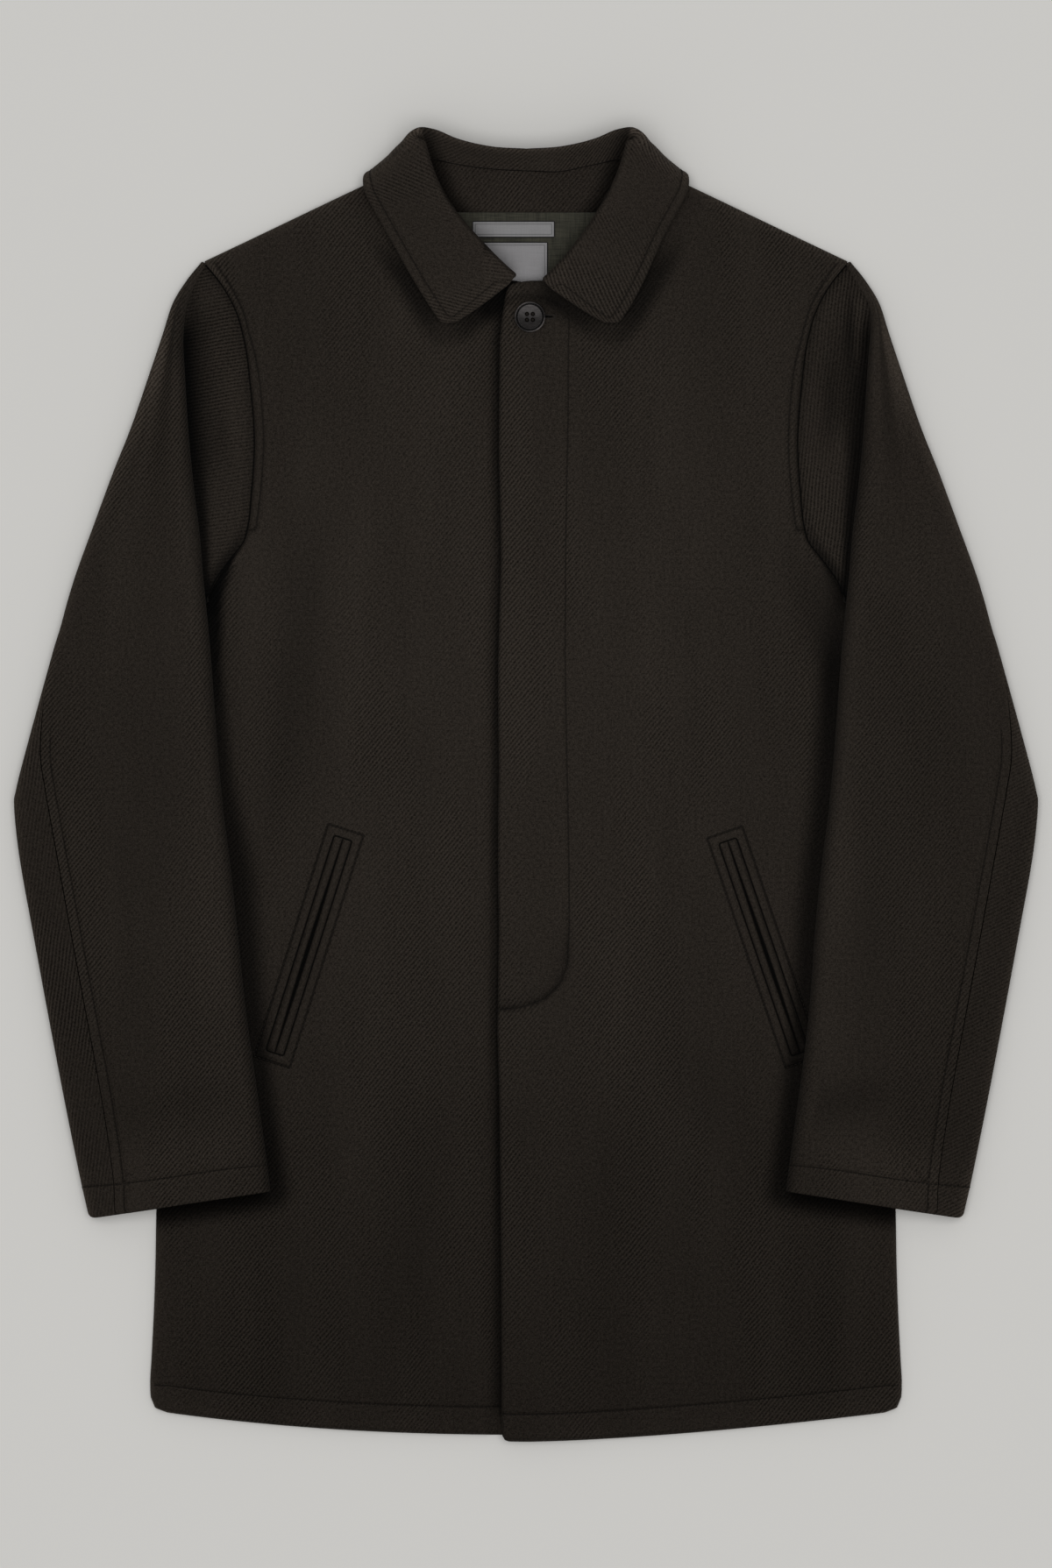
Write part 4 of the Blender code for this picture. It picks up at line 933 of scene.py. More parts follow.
def under_sleeve_light(side, plan):
    """Light on a front beside the sleeve, read from its side's table, and beside the underarm seam."""
    y = plan[..., 1]
    rows = np.array(SLEEVE_SHADOW[side])
    near, far, depth = (np.interp(-y, -rows[:, 0], rows[:, i]) for i in (1, 2, 3))
    light = light_left(plan, sleeve_over(side), near, far, depth)
    near, far, depth = UNDERARM_SHADE[side]
    narrow = 1.0 - UNDERARM_NARROW[0] * smooth(y, *UNDERARM_NARROW[1:])
    depth = depth * (1.0 - smooth(y, *UNDERARM_END))
    return light * light_left(plan, UNDERARM_SEAM, near * narrow, far * narrow, depth)


def under_collar_light(side, plan):
    """Light on a front beside the collar, more near the shoulder, below the leaf's point and at the neck."""
    x, y = plan[..., 0], plan[..., 1]
    near, far, depth = COLLAR_SHADE
    depth = depth * (1.0 - SHOULDER_LOSS[0] * smooth(y, *SHOULDER_LOSS[1:]))
    loss, at_x, at_y, reach = POINT_LOSS
    depth = depth * (1.0 - loss * hump(np.hypot(x - at_x, y - at_y), reach))
    loss, at_x, reach_x, at_y, reach_y = NECK_LOSS
    depth = depth * (1.0 - loss * hump(x - at_x, reach_x) * hump(y - at_y, reach_y))
    return light_left(plan, COLLAR_OVER[side], near, far, depth)


def in_steps(marks, counts):
    """Values from mark to mark, each stretch evenly cut into its own count, both ends included."""
    stretches = [np.linspace(a, b, n)[:-1] for a, b, n in zip(marks[:-1], marks[1:], counts)]
    return np.concatenate([*stretches, marks[-1:]])


COAT_THREAD = thread_finish("coat_thread", THREAD_TINT)
front_across = in_steps((0.0, 1.0, 2.0, 3.0), (10, 70, 8))
front_rows = np.concatenate([HEM_SIDE + HEM_ROLL * (1.0 - np.cos(np.linspace(0.0, 1.0, 9) * np.pi / 2)),
                             np.arange(-441.0, 345.0, 4.0), np.arange(345.0, 443.1, 1.75)])
front_runs = []
for side, mirror in SIDES.items():
    flip = np.array([mirror, 1.0, 1.0])
    across, row = np.meshgrid(front_across, front_rows)
    face = front_face(side, across, row)
    hem_x = np.linspace(HEM_STITCH_FROM, HEM_STITCH_TO[side], 90)
    lines = [np.stack([hem_x, hem_line(side, hem_x) + HEM_STITCH], -1),
             smooth_line(ARMHOLE_STITCH, STITCH_STEP), smooth_line(ARMHOLE_BAR, STITCH_STEP)]
    if side == "left":
        lines.append(smooth_line(FLY_STITCH, STITCH_STEP))
    front_runs += [tuple(part * flip for part in on_front(side, line)) for line in lines]
    plan = face[..., :2]
    x, y = plan[..., 0], plan[..., 1]
    distance = line_distance(plan, *lines)
    shade = under_sleeve_light(side, plan) * under_collar_light(side, plan)
    for line, (depth, breadth) in ((lines[1], ARMHOLE_LINE), (lines[2], BAR_LINE)):
        gap, past = from_line(plan, line)
        shade = shade * line_light(gap, depth * (1.0 - past), breadth)
    shade = shade * (1.0 + FOLD_LIGHT * ridges(FRONT_FOLDS[side], x, y))
    from_side = (outline(y) - x) * edge_slope(y)
    from_hem = y - hem_line(side, x)
    glow = EDGE_GLOW[1] + (EDGE_GLOW[0] - EDGE_GLOW[1]) * smooth(y, *SHOULDER_FROM)
    shade = shade * edge_light(from_side, glow * rolled(y)) * edge_light(from_hem, EDGE_GLOW[2])
    shade = shade * (1.0 + HEM_LIGHT[0] * (1.0 - smooth(from_hem, *HEM_LIGHT[1:])))
    by_side = (1.0 - smooth(from_side, *SIDE_LIGHT[1:])) * (1.0 - smooth(y, *SIDE_LIGHT_BELOW))
    shade = shade * (1.0 + SIDE_LIGHT[0] * by_side)
    centre_x, reach_x, centre_y, reach_y = CHEST_NAP
    nap = hump(x - centre_x, reach_x) * hump(y - centre_y, reach_y)
    nap = np.maximum(nap, hump(from_line(plan, np.array(POCKETS[side]))[0], POCKET_NAP))
    nap = nap - BAND_WEAR[0] * (1.0 - smooth(from_side, *BAND_WEAR[1:])) * (1.0 - rolled(y))
    if side == "right":
        shade = shade * light_left(plan, THROAT, *THROAT_SHADE)
        fly_edge = np.array(FRONT_EDGE["left"])[2:, ::-1] * np.array([-1.0, 1.0])
        shade = shade * light_left(plan, fly_edge, *FLY_SHADE)
    else:
        shade = shade * (1.0 - FLY_CREASE_SHADE * fly_crease(x, y))
        shade = shade * (1.0 - FLY_FOLD_SHADE * smooth(across, 2.0, 3.0))
        from_fly = from_line(plan, lines[-1])[0]
        by_curve = 1.0 - smooth(y, *FLY_CURVE_BELOW)
        shade = shade * line_light(from_fly, FLY_LINE[0] * by_curve, FLY_LINE[1])
        within = by_curve * (from_fly < 0)
        shade = shade * line_light(from_fly, FLY_LINE_INSIDE[0] * within, FLY_LINE_INSIDE[1])
    face = face * flip
    front_map = cloth_map(face, 40, 20)
    piece = cloth_shell("front_cloth_" + side, face, front_map, FRONT_CLOTH, COAT_TWILL, stitch=distance,
                        shade=shade, nap=nap)
    lay(piece, face, front_map, ["back"], "shell_twill", "front_" + side)
sewn("front_stitching", front_runs, COAT_THREAD)


# Pockets
# A slanted welt pocket in each front: a cut window with two padded lips of the coat twill, a slit that gapes
# between them, and a box of stitching through the front round the pocket.

WINDOW_HALF = 6.7
WINDOW_CORNER = 1.6
BOX_HALF = 13.4
BOX_PAST = 7.4
PATCH_PAST = 2.0
LIP_HEIGHT = 1.8
SLIT_GAPE = {"right": 1.05, "left": 1.0}
SLIT_SHADE = 0.03
BOX_CORNER = 0.5
# Painted shade along the box's stitching: depth and half breadth
BOX_LINE = (0.4, 0.9)
POCKET_WALL = 0.5
STITCH_LIFT = 0.42
# The border round the window: its height and rim, a pad beside the window with its place, breadth and height,
# and the ditch at the window with its depth and breadth
BORDER_RISE = (0.9, 1.2)
BORDER_PAD = (3.2, 2.2, 0.25)
BORDER_DITCH = (0.6, 1.6)
# The slit: least half width, lean towards the foot, sharpness of its ends; the lips end short of the window
SLIT_FORM = (0.3, 1.15, 1.2)
LIP_SHORT = 0.4
LIP_FOOT = 0.12
LIP_SHADE = 0.3


def rounded_box(q, t, half_width, half_length, corner):
    """Signed distance from a box with round corners, negative inside."""
    dx = np.abs(q) - half_width + corner
    dy = np.abs(t) - half_length + corner
    return np.hypot(np.maximum(dx, 0), np.maximum(dy, 0)) + np.minimum(np.maximum(dx, dy), 0) - corner


def pocket_relief(side, q, t, length):
    """Height over the front and shade of a pocket at q across and t along from its middle.

    A flat border sunk at its rim, a ditch round the window, and in the window two half-round lips beside a
    slit whose half width is a sine along it.
    """
    window = rounded_box(q, t, WINDOW_HALF, length / 2 + 0.8, WINDOW_CORNER)
    box = rounded_box(q, t, BOX_HALF, length / 2 + BOX_PAST, BOX_CORNER)
    at, breadth, pad = BORDER_PAD
    border = BORDER_RISE[0] * smooth(-box, -PATCH_PAST, BORDER_RISE[1])
    border = border + pad * hump(window - at, breadth) - pad
    border = border - BORDER_DITCH[0] * (1.0 - smooth(window, 0.0, BORDER_DITCH[1]))
    least, lean, sharp = SLIT_FORM
    slit = least + SLIT_GAPE[side] * np.sin(np.clip(t / length + 0.5, 0.0, 1.0) ** lean * np.pi) ** sharp
    lip_end = WINDOW_HALF - LIP_SHORT
    middle = (lip_end + slit) / 2
    lip = 1.0 - ((np.abs(q) - middle) / (lip_end - middle)) ** 2
    lips = LIP_HEIGHT * np.sqrt(np.clip(lip, 0.0, 1.0)) * smooth(-window, 0.0, 2.2) + LIP_FOOT
    inside = smooth(-window, 0.0, 0.5)
    in_slit = (1.0 - smooth(np.abs(q), slit * 0.75, slit * 1.15 + 0.2)) * smooth(-window, 0.2, 1.0)
    shade = 1.0 - (1.0 - SLIT_SHADE) * in_slit
    shade = shade * (1.0 - LIP_SHADE * inside * (1.0 - smooth(lip, 0.0, 0.6)))
    return border * (1 - inside) + lips * inside, shade, window, box


pocket_runs = []
for side, (top, foot) in POCKETS.items():
    mirror = np.array([SIDES[side], 1.0, 1.0])
    top = np.array(top)
    foot = np.array(foot)
    length = np.linalg.norm(foot - top)
    axis = (foot - top) / length
    square = np.array([-axis[1], axis[0]])
    reach = length / 2 + BOX_PAST + PATCH_PAST
    fine = np.linspace(-WINDOW_HALF - 1.5, WINDOW_HALF + 1.5, 45)
    wide = np.linspace(WINDOW_HALF + 2.1, BOX_HALF + PATCH_PAST, 13)
    q, t = np.meshgrid(np.concatenate([-wide[::-1], fine, wide]), np.linspace(-reach, reach, 151))
    height, shade, window, box = pocket_relief(side, q, t, length)
    middle = (top + foot) / 2
    plan = middle + square * q[..., None] + axis * t[..., None]
    face = np.concatenate([plan, (front_height(side, plan[..., 0], plan[..., 1]) + height)[..., None]], -1)
    corner = np.array([[-1, -1], [-1, 1], [1, 1], [1, -1], [-1, -1]])
    corner = corner * np.array([BOX_HALF, length / 2 + BOX_PAST])
    for a, b in zip(corner[:-1], corner[1:]):
        ends = middle + np.outer([a[0], b[0]], square) + np.outer([a[1], b[1]], axis)
        points, normals = on_front(side, smooth_line(ends, STITCH_STEP))
        pocket_runs.append((points * mirror + np.array([0.0, 0.0, STITCH_LIFT]), normals * mirror))
    shade = shade * under_sleeve_light(side, plan) * line_light(box, *BOX_LINE)
    face = face * mirror
    pocket_map = face[..., :2] + np.stack([np.zeros_like(q), height * 0.5], -1)
    piece = cloth_shell("pocket_cloth_" + side, face, pocket_map, POCKET_WALL, COAT_TWILL, shade=shade,
                        stitch=stretched(box) / 1.6, seam=stretched(window) * 1.9,
                        nap=smooth(-box, -PATCH_PAST, 3.0))
    lay(piece, face, np.stack([q, t], -1), ["front_" + side], "shell_twill",
        "pocket_" + side + "_outer", "pocket_" + side + "_inner")
sewn("pocket_stitching", pocket_runs, COAT_THREAD)


# Sleeves
# Two-piece sleeves of the coat twill, set into the armholes and lying flat beside and on the body. The top
# sleeve turns down into a deep fold at its head; the under sleeve shows outside the stitched back-arm seam.

# Sections from the head to the cuff: seam is the arc from the outer edge to the back-arm seam, and cap is 1
# where the sleeve ends in the armhole
SLEEVE_COLUMNS = "outer_x outer_y crest_x crest_y arm_y seam loft ridge cap".split()
SLEEVE = [
    (233.2, 376.0, 229.8, 374.6, 376, -9.0, 4.0, 0.0, 1),
    (244.0, 362.5, 237.5, 360.3, 359, -9.0, 7.0, 1.0, 1),
    (254.0, 346.0, 243.8, 343.0, 339, -9.0, 9.0, 2.5, 1),
    (261.0, 324.5, 246.2, 320.0, 316, -9.0, 10.5, 4.5, 1),
    (270.5, 296.0, 244.9, 292.0, 287, -9.0, 11.5, 6.5, 1),
    (283.5, 258.0, 242.5, 254.0, 249, -9.0, 12.0, 7.5, 1),
    (297.0, 224.0, 239.0, 217.0, 214, -9.0, 12.0, 7.5, 1),
    (311.0, 186.0, 234.5, 180.0, 181, -6.0, 12.0, 6.5, 1),
    (322.5, 154.5, 232.0, 150.0, 155, -5.0, 12.0, 5.4, 1),
    (329.0, 134.0, 230.0, 131.0, 138, -3.6, 12.0, 4.2, 1),
    (335.0, 112.0, 227.5, 106.0, 118, -2.0, 12.0, 3.2, 0),
    (340.5, 94.0, 226.0, 88.0, 118, 0.5, 12.0, 2.6, 0),
    (358.5, 28.5, 221.2, 23.0, 118, 13.0, 12.0, 2.0, 0),
    (366.5, -3.0, 218.2, -9.0, 118, 24.5, 12.0, 1.8, 0),
    (368.0, -17.0, 216.6, -25.0, 118, 28.5, 12.0, 1.8, 0),
    (364.0, -54.0, 212.4, -57.0, 118, 31.0, 12.0, 1.8, 0),
    (355.0, -104.0, 207.2, -105.0, 118, 31.0, 12.0, 1.8, 0),
    (344.5, -161.0, 201.5, -159.0, 118, 31.0, 12.0, 1.8, 0),
    (332.5, -224.0, 193.5, -217.0, 118, 30.5, 12.0, 1.6, 0),
    (321.0, -281.0, 186.1, -271.0, 118, 27.5, 11.6, 1.4, 0),
    (314.0, -312.2, 183.5, -292.5, 118, 22.0, 11.0, 1.2, 0),
]
SLEEVE_CLOTH = 2.0
SLEEVE_LOFT = 12.0
SLEEVE_REST = 1.4
# Where the sleeve leaves the body, in y, and how far outside and inside the body's edge it climbs
SLEEVE_LEAVES = (122.0, 150.0)
UPPER_RAMP = 60.0
UNDER_RAMP = 30.0
RAMP_INSIDE = 4.0
# The cap's edge in the armhole: height at most, and as a share of the sleeve's own
CAP_EDGE = (6.6, 0.7)
CAP_TUCK = 2.2
CAP_SWELL = 2.4
CAP_OVERHANG = 0.12
# The crest's bend: its reach as least, share of the width and most, and the share of its height at the brim
CREST_REACH = (3.5, 0.2, 14.0)
CREST_BRIM = 0.45
# The bottom of the fold, as for the cap's edge, and the room beside the crest where it comes down to that
VALLEY_FLOOR = (4.4, 0.55)
VALLEY_ROOM = (6.0, 26.0)
TURN_UNDER = 1.6
# Stitching beside the back-arm seam, distance and sections, and along the cuff, sections and shares across
BACK_ARM_GAP = 0.36
BACK_ARM_STITCH = 7.0
BACK_ARM_SECTIONS = (19.98, 11.8)
CUFF_STITCH = (19.225, 19.06)
CUFF_STITCH_ACROSS = (0.02, 1.25)
STRIP_STITCH_ACROSS = (0.02, 1.9)
CUFF_ROUND = 1.6
# The left sleeve lies over its pocket: place, reach and height; the cuff's corner and its last section
POCKET_BUMP = (188.0, -186.0, 46.0, 2.4)
CUFF_CORNER = 4.5
CUFF_ROW = 33.0
# The left crest lies further out near the cuff and at the head: by how much, and the sections where it does
CREST_SHIFT_SECTIONS = (15.5, 18.0)
HEAD_SHIFT = {"right": 0.0, "left": 3.2}
HEAD_SHIFT_AT = (2.1, 0.8)
# Painted light, with the sections between which it comes or goes: the valley beside the crest as two depths
# and reaches, the valley lower down as sections, reaches and depth, and the cap's foot
VALLEY_SHADE = {"right": ((0.55, 12.0), (0.42, 20.0)), "left": ((0.38, 12.0), (0.48, 27.0))}
VALLEY_FROM = (1.5, 3.1)
LOW_VALLEY = ((5.0, 6.15, 7.25, 8.5), (12.5, 9.5, 6.2, 4.5), 0.88)
LOW_FROM = {"right": 5.2, "left": 4.6}
CAP_END = {"right": 0.95, "left": 0.75}
CAP_END_FROM = (8.3, 9.1)
# The crest's brim, across and along; the armhole seam as depth and reach, and more of both lower down
BRIM_SHADE = 0.55
BRIM_ACROSS = (1.03, 1.22)
BRIM_FROM = (1.6, 3.4)
SEAM_SHADE = (0.28, 5.5)
LOW_SEAM_SHADE = (0.45, 4.0)
LOW_SEAM_FROM = ((6.6, 7.6), (6.4, 7.4))
# A soft streak of painted shade where the crest begins: depth, place before the crest, breadth and last
# section
HEAD_SHADE_STREAK = {"right": (0.3, 5.5, 6.5, 4.2), "left": (0.12, 6.5, 7.0, 3.2)}
SHADE_STREAK_FROM = (0.6, 2.0)
# Painted light: the head's outer edge with a glint in from it, the rolled outer edge at the head and below,
# the forearm and the cuffs
HEAD_GLOW = (0.9, 6.5)
HEAD_FROM = (0.5, 2.0)
HEAD_TO = (4.5, 7.5)
HEAD_GLINT = [(259, 322, 268, 258, 7.5, 0.27)]
SLEEVE_GLOW = (0.5, 2.1)
FOREARM_LIGHT = (0.09, 12.0, 17.0)
CUFF_LIGHT = {"right": 0.2, "left": 0.4}
CUFF_FROM = (18.2, 19.5)
CUFF_ACROSS = (10.0, 90.0)
# Directions of the twill lines in plan, in degrees from +X
CAP_TWILL = {"right": 10.0, "left": 84.0}
UNDER_TWILL = {"right": 82.0, "left": 25.0}
SLEEVE_NAP = {"right": 0.0, "left": 0.25}
CAP_NAP = -0.6
UNDER_NAP = -0.5
# Soft folds of the sleeves, as for the fronts
SLEEVE_FOLDS = {
    "right": [(262, 318, 268, 285, 5, 0.9), (285, 210, 300, 60, 20, 0.8), (258, 60, 264, -95, 16, -1.0),
              (320, -10, 300, -130, 22, 0.8), (232, -60, 226, -160, 15, 0.7),
              (285, -120, 272, -215, 14, -0.6), (205, -222, 285, -236, 12, -1.1),
              (205, -262, 292, -274, 15, 1.3), (302, -25, 292, -95, 24, -1.2)],
    "left": [(262, 316, 270, 280, 6, 0.9), (275, 220, 292, 90, 18, 0.7), (300, 110, 315, -20, 20, -0.6),
             (250, -15, 242, -160, 14, -1.3), (228, 5, 222, -110, 12, 0.7), (300, -70, 290, -190, 18, 0.7),
             (200, -236, 262, -222, 14, -2.4), (205, -264, 296, -276, 15, 1.6),
             (264, -50, 252, -135, 17, -0.9)],
}
# Puckers of the caps: the share of light that each adds or takes stands for its height; the rise of a whole
# share, and the shares of the way over the cap where they come and go
CAP_FOLDS = {
    "right": [(223.5, 322, 222, 300, 5, 0.22), (213, 292, 208.5, 240, 5.5, 0.14),
              (219, 262, 218.5, 236, 4.5, -0.16), (239.4, 356, 238.4, 333, 3.6, -0.32)],
    "left": [(233.5, 350, 232.5, 302, 3.6, -0.42), (239.8, 340, 238.6, 304, 3, 1.2),
             (221, 304, 216.3, 250, 5.5, -0.3), (228, 258, 225.5, 238, 3.5, 0.2)],
}
CAP_RISE = 1.6
PUCKER_FROM = (0.1, 0.4)
PUCKER_TO = (0.7, 0.95)


def turned(plan, degrees):
    """Plan points turned about the origin."""
    a = np.radians(degrees)
    return plan @ np.array([[np.cos(a), np.sin(a)], [-np.sin(a), np.cos(a)]])


def sleeve_frame(side, along):
    """The sleeve table read at section numbers, with its direction across, its width and its roll radii."""
    rows = np.array(SLEEVE, float)
    r = {name: through(np.arange(len(rows)), rows[:, i], along) for i, name in enumerate(SLEEVE_COLUMNS)}
    r["crest_x"] = r["crest_x"] + CREST_SHIFT[side] * smooth(along, *CREST_SHIFT_SECTIONS)
    at, breadth = HEAD_SHIFT_AT
    r["crest_x"] = r["crest_x"] + HEAD_SHIFT[side] * hump(np.asarray(along) - at, breadth)
    dx = r["crest_x"] - r["outer_x"]
    dy = r["crest_y"] - r["outer_y"]
    span = np.hypot(dx, dy)
    r["dir_x"] = dx / span
    r["dir_y"] = dy / span
    near_cuff = np.clip(1.0 - (len(rows) - 1 - np.asarray(along)) * CUFF_ROW / CUFF_CORNER, 0.0, 1.0)
    corner = CUFF_CORNER * quarter_drop(near_cuff)
    r["outer_x"] = r["outer_x"] + r["dir_x"] * corner
    r["outer_y"] = r["outer_y"] + r["dir_y"] * corner
    r["width"] = span - corner
    least, share, most = CREST_REACH
    r["crest_reach"] = np.minimum(np.minimum(least + share * r["width"], most), 0.5 * r["width"])
    r["radius"] = np.minimum(r["loft"] / 2, 0.45 * r["width"])
    r["crest_radius"] = np.minimum((r["loft"] + r["ridge"]) / 2, 0.5 * r["width"])
    r["seam"] = np.maximum(r["seam"], -r["radius"] * np.pi / 2 - 0.4)
    r["cap"] = np.clip(r["cap"], 0.0, 1.0)
    return r


def sleeve_base(side, x, y, ramp):
    """Height that the sleeve rests at: the floor outside the body, and over it the front with its pocket."""
    over = smooth(outline(y) - x, -ramp, RAMP_INSIDE) * (1.0 - smooth(y, *SLEEVE_LEAVES))
    rest = BODY_TOP + SLEEVE_REST + np.zeros(np.shape(x))
    if side == "left":
        px, py, reach, height = POCKET_BUMP
        rest = rest + height * hump(np.hypot(x - px, y - py), reach)
    return over * rest


def sleeve_round(side, r, arc):
    """Outer face at an arc length from the outer edge: a half circle of the roll radius, then flat."""
    quarter = r["radius"] * np.pi / 2
    angle = np.clip(arc / r["radius"], -np.pi / 2, np.pi / 2)
    u = r["radius"] * (1 - np.cos(angle)) + np.maximum(np.abs(arc) - quarter, 0.0)
    x = r["outer_x"] + r["dir_x"] * u
    y = r["outer_y"] + r["dir_y"] * u
    upper = smooth(np.sin(angle), -1.0, 1.0)
    base = upper * sleeve_base(side, x, y, UPPER_RAMP) + (1 - upper) * sleeve_base(side, x, y, UNDER_RAMP)
    rise = r["radius"] * (1 + np.sin(angle)) + (r["loft"] - 2 * r["radius"]) * upper
    ridge = r["ridge"] * smooth(u, 0.35 * r["width"], r["width"] - r["crest_reach"]) * (arc > 0)
    folds = ridges(SLEEVE_FOLDS[side], x, y) * smooth(u, 2.0, 14.0) * (arc > 0)
    return np.stack([x, y, base + rise + ridge + folds], -1)


def bezier(p, w):
    """Cubic Bezier curve through four control points at the share w."""
    return p[0] * (1 - w) ** 3 + 3 * p[1] * w * (1 - w) ** 2 + 3 * p[2] * w * w * (1 - w) + p[3] * w ** 3


def top_sleeve_face(side, across, along):
    """Outer face of the top sleeve.

    across runs 0 to 0.5 from the back-arm seam over the outer edge, 0.5 to 1 on to the crest, 1 to 1.5 round
    the crest by two quarter ellipses, and 1.5 to 2 along a cubic Bezier curve from the bottom of the fold
    over the cap into the armhole or, below the underarm, on underneath. Puckers are added to the cap.
    """
    r = sleeve_frame(side, along)
    start = r["seam"] + BACK_ARM_GAP
    stop = r["radius"] * np.pi / 2 + r["width"] - r["crest_reach"] - r["radius"]
    edge = np.maximum(r["radius"] * np.pi / 2 + 1.5 - start, 5.0)
    edge = np.minimum(edge, 0.8 * (stop - start))
    flat = np.clip(across * 2 - 1.0, 0.0, 1.0)
    upper = sleeve_round(side, r, start + edge * np.clip(across * 2, 0.0, 1.0) + (stop - start - edge) * flat)
    top = sleeve_round(side, r, stop)[..., 2]
    crest = np.stack([r["crest_x"], r["crest_y"]], -1)
    ahead = np.stack([r["dir_x"], r["dir_y"]], -1)
    cap = r["cap"]
    hole = np.stack([outline(r["arm_y"]) - CAP_TUCK, r["arm_y"]], -1)
    room = smooth(np.linalg.norm(hole - crest, axis=-1), *VALLEY_ROOM)
    hole_z = np.minimum(CAP_EDGE[0], CAP_EDGE[1] * top)
    valley = np.minimum(VALLEY_FLOOR[0] * room + hole_z * (1 - room), VALLEY_FLOOR[1] * top)
    low = sleeve_base(side, r["crest_x"], r["crest_y"], UNDER_RAMP) * (1 - cap) + valley * cap
    brim = low + CREST_BRIM * (top - low)
    back = r["crest_radius"] * ((1 - cap) + CAP_OVERHANG * cap)
    first = np.clip(across * 4 - 4.0, 0.0, 1.0) * np.pi / 2
    second = np.clip(across * 4 - 5.0, 0.0, 1.0) * np.pi / 2
    along_dir = -r["crest_reach"] * (1 - np.sin(first)) - back * (1 - np.cos(second))
    z = brim + (top - brim) * np.cos(first) - (brim - low) * np.sin(second)
    bend = np.concatenate([crest + ahead * along_dir[..., None], z[..., None]], -1)
    inside = np.concatenate([crest - ahead * back[..., None], low[..., None]], -1)
    below = crest - ahead * (r["crest_radius"] * TURN_UNDER)[..., None]
    under_z = sleeve_base(side, below[..., 0], below[..., 1], UNDER_RAMP)
    w = cap[..., None]
    end = np.concatenate([below * (1 - w) + hole * w, (under_z * (1 - cap) + hole_z * cap)[..., None]], -1)
    swell = np.array([0.0, 0.0, CAP_SWELL]) * (cap * room)[..., None]
    curve = [inside, inside * 0.72 + end * 0.28 + swell * 0.1, inside * 0.3 + end * 0.7 + swell, end]
    over_cap = np.clip(across * 2 - 3.0, 0.0, 1.0)
    lower = np.where(across[..., None] <= 1.5, bend, bezier(curve, over_cap[..., None]))
    pucker = CAP_RISE * ridges(CAP_FOLDS[side], lower[..., 0], lower[..., 1]) * cap
    lower[..., 2] += pucker * smooth(over_cap, *PUCKER_FROM) * (1.0 - smooth(over_cap, *PUCKER_TO))
    return np.where(across[..., None] <= 1.0, upper, lower)


def under_sleeve_face(side, across, along):
    """Outer face of the under sleeve: 0 to 1 from the back-arm seam round the edge, 1 to 2 on underneath."""
    r = sleeve_frame(side, along)
    start = r["seam"] - BACK_ARM_GAP
    stop = -r["radius"] * np.pi / 2 - np.minimum(2.5, 0.3 * r["width"])
    edge = sleeve_round(side, r, start + (stop - start) * np.clip(across, 0.0, 1.0))
    first = sleeve_round(side, r, stop)
    cap = r["cap"]
    inset = r["crest_radius"] * TURN_UNDER + SEAM_GAP
    x = (r["crest_x"] - r["dir_x"] * inset) * (1 - cap) + (outline(r["arm_y"]) + 2 * SEAM_GAP) * cap
    y = (r["crest_y"] - r["dir_y"] * inset) * (1 - cap) + r["arm_y"] * cap
    w = np.clip(across - 1.0, 0.0, 1.0)
    px = first[..., 0] + (x - first[..., 0]) * w
    py = first[..., 1] + (y - first[..., 1]) * w
    under = np.stack([px, py, sleeve_base(side, px, py, UNDER_RAMP)], -1)
    return np.where(across[..., None] <= 1.0, edge, under)


def past_back_arm(side, arc, along):
    """The sleeve's outer face at an arc length past the back-arm seam."""
    r = sleeve_frame(side, along)
    return sleeve_round(side, r, r["seam"] + arc)


def on_sleeve(surface, side, across, along):
    """Points of a line drawn on a sleeve by its two parameters, and unit normals from small differences."""
    over = surface(side, across + 0.01, along) - surface(side, across - 0.01, along)
    down = surface(side, across, along + 0.02) - surface(side, across, along - 0.02)
    n = np.cross(over, down)
    return surface(side, across, along), unit(n) * np.sign(n[0, 2])


def rounded_end(face, count, radius):
    """A grid's first rows lowered along their normals by a quarter circle, so that its end is turned in."""
    normal = grid_normals(face)
    normal = normal * np.sign(normal[..., 2].mean())
    run = run_along(face[:count + 1].mean(1), 0)
    away = np.clip(1.0 - run / radius, 0.0, 1.0)
    drop = radius * quarter_drop(away)
    face = face.copy()
    face[:count + 1] -= normal[:count + 1] * drop[:, None, None]
    face[..., 2] = np.maximum(face[..., 2], 0.0)
    return face


